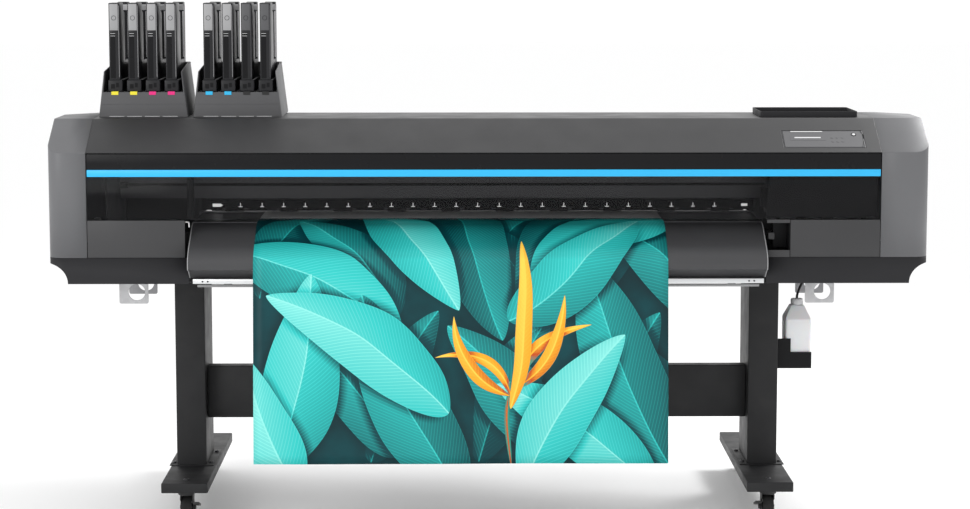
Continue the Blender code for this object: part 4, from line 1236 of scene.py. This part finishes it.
class PRINTER_OT_ink_supply(bpy.types.Operator):
    """Two ink modules and the eight cassettes that stand in them"""

    bl_idname = "printer.ink_supply"
    bl_label = "Ink supply"

    def module(self, side, centre):
        low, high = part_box(f"{side}_ink_module")
        front, back, base, top = low.y, high.y, low.z, high.z
        shelf = 1.333
        outline = [(low.x, base), (low.x + 0.020, top), (high.x - 0.020, top), (high.x, base)]
        shape = prism(outline, "Y", front, back)
        soften(shape, 0.004, 3, lambda m, d: abs(d.z) > 0.9)
        cuts = [prism([(low.x + 0.014, shelf), (low.x + 0.024, top + 0.02),
                       (high.x - 0.024, top + 0.02),
                       (high.x - 0.014, shelf)], "Y", front - 0.02, back - 0.008)]
        shape = carved(shape, *cuts)
        sliced(shape, (0, front, top - 0.020), (0, -0.10, 1))
        cuts = [cube((low.x - 0.01, front - 0.01, 1.2944), (high.x + 0.01, front + 0.0012, 1.2956)),
                cube((low.x + 0.005, front + 0.005, base - 0.01),
                     (high.x - 0.005, back - 0.005, 1.275))]
        for slot in range(4):
            x = centre + (slot - 1.5) * 0.0593
            cuts.append(cube((x - 0.012, -0.110, 1.285), (x + 0.012, 0.080, 1.34)))
        shape = carved(shape, *cuts)
        soften(shape, 0.0012, 2, lambda m, d: m.z > shelf - 0.001 and abs(d.z) < 0.9)
        lines = [cube((centre + (slot - 1.5) * 0.0560 - 0.0235, front - 0.0006, base + 0.0006),
                      (centre + (slot - 1.5) * 0.0560 + 0.0235, front + 0.0010, base + 0.0022))
                 for slot in range(4)]
        caps = [soften(cube((x, 0.040, top - 0.0045), (x + 0.0085, back - 0.001, top - 0.0005)),
                       0.0012)
                for x in (low.x + 0.019, high.x - 0.0275)]
        piece(f"{side}_ink_case", together(shape, painted(together(*lines), 1),
                                           painted(together(*caps), 2)),
              "module_plastic pale_grey black_plastic", "machine", f"{side}_ink_module")

    def cassette(self, number, node, x, tint, label):
        foot, top = 1.3333, 1.613
        front, back, gap = -0.155, 0.103, (-0.035, 0.060)
        profile = [(front, foot + 0.038), (back, foot + 0.038), (back, top - 0.012),
                   (back - 0.012, top),
                   (gap[1] - 0.012, top), (gap[1] - 0.016, top - 0.010), (gap[1], top - 0.026),
                   (gap[1], 1.430), (gap[0], 1.430), (gap[0], top - 0.032),
                   (gap[0] - 0.030, top - 0.024),
                   (gap[0] - 0.030, top), (front, top)]
        case = soften(prism(profile, "X", x - 0.017, x + 0.017), 0.0018, 2)
        base = soften(cube((x - 0.023, front, foot), (x + 0.023, back, foot + 0.0385)), 0.004, 3,
                      lambda m, d: m.z > foot + 0.03 or m.y < front + 0.001)
        spout = cube((x - 0.0105, -0.105, 1.288), (x + 0.0105, 0.075, foot + 0.001))
        label_plate = soften(cube((x - 0.0145, front - 0.0006, 1.5270),
                                  (x + 0.0120, front + 0.001, 1.6100)), 0.0008)
        emblem = turned([(0.0062, -0.0012), (0.0075, -0.0012), (0.0075, 0.001), (0.0062, 0.001),
                         (0.0062, -0.0012)],
                        "Y", (x - 0.001, 1.5660), 24)
        moved(emblem, (0, front, 0))
        inset = cube((x - 0.0130, front - 0.0004, 1.3760), (x + 0.0030, front + 0.001, 1.5200))
        ribs = [cube((x - 0.0125, front - 0.0012, z),
                     (x + 0.0025, front, z + 0.0011)) for z in (1.5165, 1.5090)]
        side_rib = cube((x + 0.0135, front - 0.0009, 1.3800), (x + 0.0148, front + 0.001, 1.6050))
        chip = together(cube((x - 0.0130, front - 0.0008, 1.3440),
                             (x - 0.0010, front + 0.001, 1.3580)),
                        cube((x + 0.0030, front - 0.0008, 1.3480),
                             (x + 0.0120, front + 0.001, 1.3620)))
        rear_rib = together(
            cube((x + 0.0130, gap[1] - 0.0006, 1.4350), (x + 0.0166, gap[1] + 0.001, top - 0.030)),
            prism([(gap[1] - 0.0165, top - 0.0100), (gap[1] - 0.0155, top - 0.0088),
                   (gap[1] + 0.0012, top - 0.0252),
                   (gap[1], top - 0.0268)], "X", x - 0.0168, x + 0.0173))
        tab = soften(together(cube((x - 0.011, -0.1664, 1.3245), (x + 0.011, -0.1653, 1.3352)),
                              cube((x - 0.011, -0.1660, 1.3338),
                                   (x + 0.011, front + 0.001, 1.3352))), 0.0003, 1)
        shape = together(case, base, spout, painted(label_plate, 1), painted(emblem, 0),
                         painted(inset, 4),
                         painted(together(*ribs, rear_rib), 2), painted(side_rib, 1),
                         painted(chip, 4), painted(tab, 3))
        piece(f"cassette_{number}_{tint}_case", shape,
              f"cassette_plastic {label} pale_grey tab_{tint} cover_gloss", f"cassette_{number}",
              node)

    def execute(self, context):
        number = 0
        for side, (centre, tints) in MODULES.items():
            self.module(side, centre)
            for slot, tint in enumerate(tints):
                number += 1
                x = centre + (slot - 1.5) * 0.0593
                label = "label_grey" if number < 7 else "panel_face"
                self.cassette(number, f"ink_cassette_{number}_{tint}", x, tint, label)
        return {"FINISHED"}


# ---------------------------------------------------------------- stand
class PRINTER_OT_stand(bpy.types.Operator):
    """Floor plates, columns, cross beam and lifting brackets"""

    bl_idname = "printer.stand"
    bl_label = "Stand"

    def execute(self, context):
        for side in ("left", "right"):
            low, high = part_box(f"{side}_base_plate")
            foot_low, foot_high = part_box(f"{side}_column")
            plate = soften(cube(low, high), 0.003, 3)
            rows = [(x, y) for x in (foot_low.x - 0.013, foot_high.x + 0.013)
                    for y in (foot_low.y + 0.030, foot_high.y - 0.030)]
            bolts = [painted(screw("Z", high.z, place, 0.0075, 0.005), 1) for place in rows]
            ends = [painted(screw("Z", high.z, ((low.x + high.x) / 2, y), 0.009, 0.004), 1)
                    for y in (-0.360, 0.357)]
            flange = soften(cube((foot_low.x - 0.0235, foot_low.y - 0.010, high.z),
                                 (foot_high.x + 0.0235, foot_high.y + 0.010, high.z + 0.003)),
                                 0.001)
            piece(f"{side}_floor_plate", together(plate, flange,
                                                  *(moved(b, (0, 0, 0.003)) for b in bolts), *ends),
                  "stand_paint bolt_steel", "machine", f"{side}_base_plate")
            column = soften(cube(foot_low, foot_high), 0.0035, 3, along("Z"))
            inner_x = foot_high.x if side == "left" else foot_low.x
            sign = 1 if side == "left" else -1
            holes = [rod("X", *sorted((inner_x - sign * 0.004, inner_x + sign * 0.004)),
                         (-0.048, z), 0.006, 16)
                     for z in (0.300, 0.417)]
            column = carved(column, *holes)
            plugs = [painted(rod("X", *sorted((inner_x - sign * 0.003, inner_x - sign * 0.001)),
                                 (-0.048, z), 0.0058, 16), 1)
                     for z in (0.300, 0.417)]
            piece(f"{side}_column_tube", together(column, *plugs), "stand_paint bolt_steel",
                  "machine",
                  f"{side}_column")
            self.bracket(side)
        boxed("cross_beam", "stand_paint", "machine", 0.003, "cross_beam_tube")
        keep("bed_steel", "bed_frame")
        return {"FINISHED"}

    def bracket(self, side):
        low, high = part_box(f"{side}_lifting_bracket")
        line = [(low.y, low.z), (low.y, high.z), (high.y, high.z), (high.y, low.z)]
        shape = prism(folded(line, 0, -0.004), "X", low.x, high.x)
        soften(shape, 0.0030, 3, lambda m, d: abs(d.x) > 0.9 and m.z > high.z - 0.001)
        soften(shape, 0.0060, 3, lambda m, d: abs(d.y) > 0.9 and m.z < low.z + 0.001, 60)
        x = {"left": -1.1165, "right": 1.0785}[side]
        cutters = [rod("Y", low.y - 0.02, high.y + 0.02, (x, 0.692), 0.0265, 48)]
        if side == "right":
            cutters.append(rod("Z", 0.72, 0.78, (1.0385, -0.052), 0.007, 24))
        shape = soften(carved(shape, *cutters), 0.0005, 1, sharper=60)
        # Faces towards the back take the darker zinc copy: painted shade, because the rear plate is
        # in shadow.
        for face in shape.faces:
            face.material_index = int(face.calc_center_median().y > 0.0)
        piece(f"{side}_pole_bracket", shape, "zinc_plate dull_zinc", "machine",
              f"{side}_lifting_bracket")


class PRINTER_OT_casters(bpy.types.Operator):
    """Four swivel casters; the two front ones have a side brake pedal"""

    bl_idname = "printer.casters"
    bl_label = "Casters"

    def execute(self, context):
        for end in ("front", "rear"):
            for side in ("left", "right"):
                self.caster(end, side)
        return {"FINISHED"}

    def caster(self, end, side):
        sides = bpy.context.scene.printer_sizes.sides
        low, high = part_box(f"{end}_{side}_caster_wheel")
        x, axle, radius = (low.x + high.x) / 2, (low.y + high.y) / 2, (high.z - low.z) / 2
        centre = (axle, radius)
        tread = turned([(radius - 0.010, low.x + 0.001), (radius - 0.003, low.x),
                        (radius, low.x + 0.005),
                        (radius, high.x - 0.005), (radius - 0.003, high.x),
                        (radius - 0.010, high.x - 0.001),
                        (radius - 0.010, low.x + 0.001)], "X", centre, sides)
        hub = turned([(0, low.x - 0.0002), (0.010, low.x - 0.0002), (0.012, low.x + 0.003),
                      (0.024, low.x + 0.004),
                      (radius - 0.009, low.x + 0.002), (radius - 0.009, high.x - 0.002),
                      (0.024, high.x - 0.004),
                      (0.012, high.x - 0.003), (0.010, high.x + 0.0002), (0, high.x + 0.0002)], "X",
                      centre, sides)
        piece(f"{end}_{side}_wheel_tread", together(tread, painted(hub, 1)),
              "wheel_rubber caster_plastic",
              f"{end}_{side}_wheel", f"{end}_{side}_caster_wheel")

        pivot = axle - 0.028
        low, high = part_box(f"{end}_{side}_caster_fork")
        shell = [(x - 0.0205, 0.022), (x - 0.0205, 0.0855), (x + 0.0205, 0.0855),
                 (x + 0.0205, 0.022)]
        fork = prism(folded(shell, 0, -0.003), "Y", axle - 0.030, axle + 0.014)
        soften(fork, 0.006, 4, lambda m, d: abs(d.y) > 0.9 and m.z > 0.08)
        rake = cube((x - 0.05, axle - 0.05, -0.01), (x + 0.05, axle - 0.014, 0.056))
        bmesh.ops.rotate(rake, verts=rake.verts, cent=(x, axle - 0.014, 0.056),
                         matrix=Matrix.Rotation(math.radians(-28), 3, "X"))
        fork = carved(fork, rake, cube((x - 0.05, axle + 0.010, -0.01),
                                       (x + 0.05, axle + 0.05, 0.040)))
        head = turned([(0, 0.082), (0.022, 0.082), (0.026, 0.085), (0.026, 0.092), (0.021, 0.0958),
                       (0.010, 0.0958), (0.010, 0.1245), (0, 0.1245)], "Z", (x, pivot), sides)
        inward = 1 if side == "left" else -1
        near, far = x - inward * 0.0205, x - inward * 0.0234
        fixings = [turned([(0, far), (0.0055, far), (0.0055, near), (0, near)], "X", centre, 6)]
        if end == "rear":
            inside = x + 0.0205 if side == "left" else x - 0.0233
            fixings.insert(0, screw("X", inside, centre, 0.006, 0.0028))
        piece(f"{end}_{side}_fork", together(soften(fork, 0.0008, 1, sharper=60), head,
                                             *(painted(each, 1) for each in fixings)),
              "caster_plastic bolt_steel", f"{end}_{side}_fork", f"{end}_{side}_caster_fork")
        if end == "rear":
            return
        face = x + inward * 0.0209
        boss = turned([(0, face), (0.011, face), (0.011, face + inward * 0.0045),
                       (0.009, face + inward * 0.0057), (0, face + inward * 0.0057)], "X", centre,
                       sides)
        arm = [(axle + 0.004, radius + 0.002), (axle + 0.004, radius + 0.010),
               (axle - 0.048, radius + 0.026),
               (axle - 0.050, radius + 0.017)]
        pedal = prism(arm, "X", *sorted((face + inward * 0.001, face + inward * 0.021)))
        pedal = soften(pedal, 0.002, 2)
        piece(f"{side}_brake_pedal", together(boss, pedal), "caster_plastic", f"{side}_brake",
              f"{side}_brake_lever")


class PRINTER_OT_waste_bottle(bpy.types.Operator):
    """Waste ink bottle, its bracket on the column and the drain tube"""

    bl_idname = "printer.waste_bottle"
    bl_label = "Waste bottle"

    def execute(self, context):
        low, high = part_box("waste_bottle")
        x, y = (low.x + high.x) / 2, (low.y + high.y) / 2
        shoulder, shoulder_top, neck = 0.594, 0.638, 0.021
        case = cube(low, (high.x, high.y, shoulder_top))
        soften(case, 0.009, 5, along("Z"))
        for out, half in ((Vector((1, 0, 0)), high.x - x), (Vector((-1, 0, 0)), high.x - x),
                          (Vector((0, 1, 0)), high.y - y), (Vector((0, -1, 0)), high.y - y)):
            sliced(case, Vector((x, y, shoulder)) + out * half,
                   out * (shoulder_top - shoulder) + Vector((0, 0, half - neck)))
        soften(case, 0.004, 3, lambda m,
               d: m.z < low.z + 0.002 or (abs(m.z - shoulder) < 0.004 and abs(d.z) < 0.2))
        neck_ring = turned([(0, 0.630), (0.0195, 0.632), (0.0165, 0.636), (0.016, 0.644),
                            (0, 0.644)], "Z", (x, y), 32)
        handle = soften(cube((x - 0.006, high.y - 0.016, 0.592),
                             (x + 0.006, high.y - 0.004, 0.622)), 0.003)
        cap_top = high.z
        cap = turned([(0, 0.6385), (0.0192, 0.6385), (0.0195, 0.6400), (0.0195, cap_top - 0.003),
                      (0.0180, cap_top),
                      (0, cap_top)], "Z", (x, y), 32)
        ribs = []
        for index in range(24):
            rib = cube((-0.0006, 0.0185, 0.6405), (0.0006, 0.0199, cap_top - 0.004))
            bmesh.ops.rotate(rib, verts=rib.verts, cent=(0, 0, 0),
                             matrix=Matrix.Rotation(index * math.tau / 24, 3, "Z"))
            ribs.append(moved(rib, (x, y, 0)))
        piece("waste_ink_bottle", together(case, neck_ring, handle,
                                           painted(together(cap, *ribs), 1)),
              "milky_plastic button_plastic", "waste_bottle", "waste_bottle")

        low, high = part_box("bottle_bracket")
        shape = carved(cube(low, high), cube((low.x + 0.0032, low.y + 0.003, low.z + 0.003),
                                             (high.x + 0.01, high.y - 0.003, high.z + 0.02)))
        shape = carved(shape, cube((0.984, low.y - 0.02, 0.490),
                                   (high.x + 0.01, high.y + 0.02, 0.56)))
        shape = carved(shape, cube((low.x + 0.0032, low.y + 0.0035, 0.490),
                                   (0.990, high.y + 0.02, 0.56)))
        heads = [painted(screw("X", low.x + 0.0032, (y, 0.522), 0.004, 0.002), 1) for y in (-0.080,
                                                                                            -0.020)]
        piece("bottle_holder", together(soften(shape, 0.0008, 1, sharper=60), *heads),
              "black_plastic bolt_steel", "machine", "bottle_bracket")
        keep("black_rubber", "waste_tube")
        return {"FINISHED"}


class PRINTER_OT_back(bpy.types.Operator):
    """Electronics cover at the back with its vents, sockets and mains inlet"""

    bl_idname = "printer.back"
    bl_label = "Back"

    def execute(self, context):
        sizes = context.scene.printer_sizes
        low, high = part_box("rear_cover")
        front, bottom, top = low.y, low.z, high.z
        wall = sizes.wall
        outline = [(front, bottom), (front, top), (0.170, top), (0.250, 1.120), (0.250, bottom)]
        shape = prism(outline, "X", low.x, high.x)
        soften(shape, 0.010, 3, lambda m, d: abs(d.x) > 0.9 and m.y > 0.1 and m.z > 1.0)
        soften(shape, 0.004, 3, lambda m, d: abs(d.x) < 0.1 and m.y > 0.1)
        inside = prism([(front - 0.02, bottom - 0.02), (front - 0.02, top - wall),
                        (0.1685, top - wall),
                        (0.250 - wall, 1.119), (0.250 - wall, bottom - 0.02)], "X", low.x + wall,
                        high.x - wall)
        shape = carved(shape, inside)
        shape = carved(shape, cube((-0.9305, -0.02, 0.70), (0.8755, 0.30, 0.985)))
        vents = []
        for start in (-0.82, 0.42):
            for row in range(9):
                for column in range(4):
                    x = start + column * 0.095
                    z = 1.010 + row * 0.010
                    vents.append(cube((x, 0.240, z), (x + 0.080, 0.260, z + 0.0045)))
        shape = carved(shape, *vents)
        places = [(x, z) for x in (-1.185, -0.95, -0.48, 0.0, 0.48, 0.90, 1.170) for z in (1.000,
                                                                                           1.105)]
        heads = [painted(screw("Y", 0.250, (x, z), 0.004, 0.002), 1) for x, z in places]
        piece("rear_housing", together(shape, *heads), "hood_plastic bolt_steel", "machine",
              "rear_cover",
              sharp=30)
        plate = soften(cube((-1.090, 0.2500, 0.815), (-0.960, 0.2515, 0.860)), 0.0007)
        sockets = [cube((x, 0.2510, 0.828), (x + w, 0.2540, 0.828 + h)) for x, w, h in
                   ((-1.080, 0.016, 0.014), (-1.056, 0.012, 0.006), (-1.056, 0.012, 0.006),
                    (-1.030, 0.016, 0.014),
                    (-1.004, 0.030, 0.012))]
        sockets[2] = moved(sockets[2], (0, 0, 0.010))
        piece("interface_plate", together(plate, *(painted(s, 1) for s in sockets)),
              "aluminium cover_gloss",
              "machine")
        low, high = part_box("power_inlet")
        inlet = soften(cube(low, high), 0.003, 3, along("Y"))
        inlet = carved(inlet, cube((low.x + 0.010, high.y - 0.010, low.z + 0.006),
                                   (high.x - 0.022, high.y + 0.01, high.z - 0.006)))
        pins = [rod("Y", high.y - 0.0095, high.y - 0.002, (x, z), 0.0015, 8)
                for x, z in ((low.x + 0.015, 0.836), (low.x + 0.020, 0.840),
                             (low.x + 0.025, 0.836))]
        switch = soften(cube((high.x - 0.018, high.y - 0.002, low.z + 0.006),
                             (high.x - 0.005, high.y - 0.0003, high.z - 0.006)), 0.0006)
        piece("mains_inlet", together(inlet, *(painted(p, 1) for p in pins), painted(switch, 2)),
              "black_plastic bolt_steel pale_grey", "machine", "power_inlet")
        return {"FINISHED"}


class PRINTER_PT_pieces(bpy.types.Panel):
    """Lists the groups of pieces"""

    bl_idname = "PRINTER_PT_pieces"
    bl_label = "Roll printer"
    bl_space_type = "VIEW_3D"
    bl_region_type = "UI"
    bl_category = "Roll printer"

    def draw(self, context):
        for group in ("printer_sizes", "printer_colours"):
            box = self.layout.box()
            settings = getattr(context.scene, group)
            for name in settings.__annotations__:
                box.prop(settings, name)
        for operator in OPERATORS:
            self.layout.operator(operator.bl_idname)


OPERATORS = (
    PRINTER_OT_stage, PRINTER_OT_end_covers, PRINTER_OT_hood, PRINTER_OT_front_cover,
    PRINTER_OT_front_panels, PRINTER_OT_guides, PRINTER_OT_film, PRINTER_OT_print_table,
    PRINTER_OT_carriage, PRINTER_OT_ink_supply, PRINTER_OT_stand, PRINTER_OT_casters,
    PRINTER_OT_waste_bottle, PRINTER_OT_back,
)
CLASSES = (PrinterSizes, PrinterColours, *OPERATORS, PRINTER_PT_pieces)


def register():
    for entry in CLASSES:
        bpy.utils.register_class(entry)
    bpy.types.Scene.printer_sizes = PointerProperty(type=PrinterSizes)
    bpy.types.Scene.printer_colours = PointerProperty(type=PrinterColours)


def unregister():
    del bpy.types.Scene.printer_colours
    del bpy.types.Scene.printer_sizes
    for entry in reversed(CLASSES):
        bpy.utils.unregister_class(entry)


def main():
    register()
    for operator in OPERATORS:
        group, action = operator.bl_idname.split(".")
        getattr(getattr(bpy.ops, group), action)()


if __name__ == "__main__":
    main()
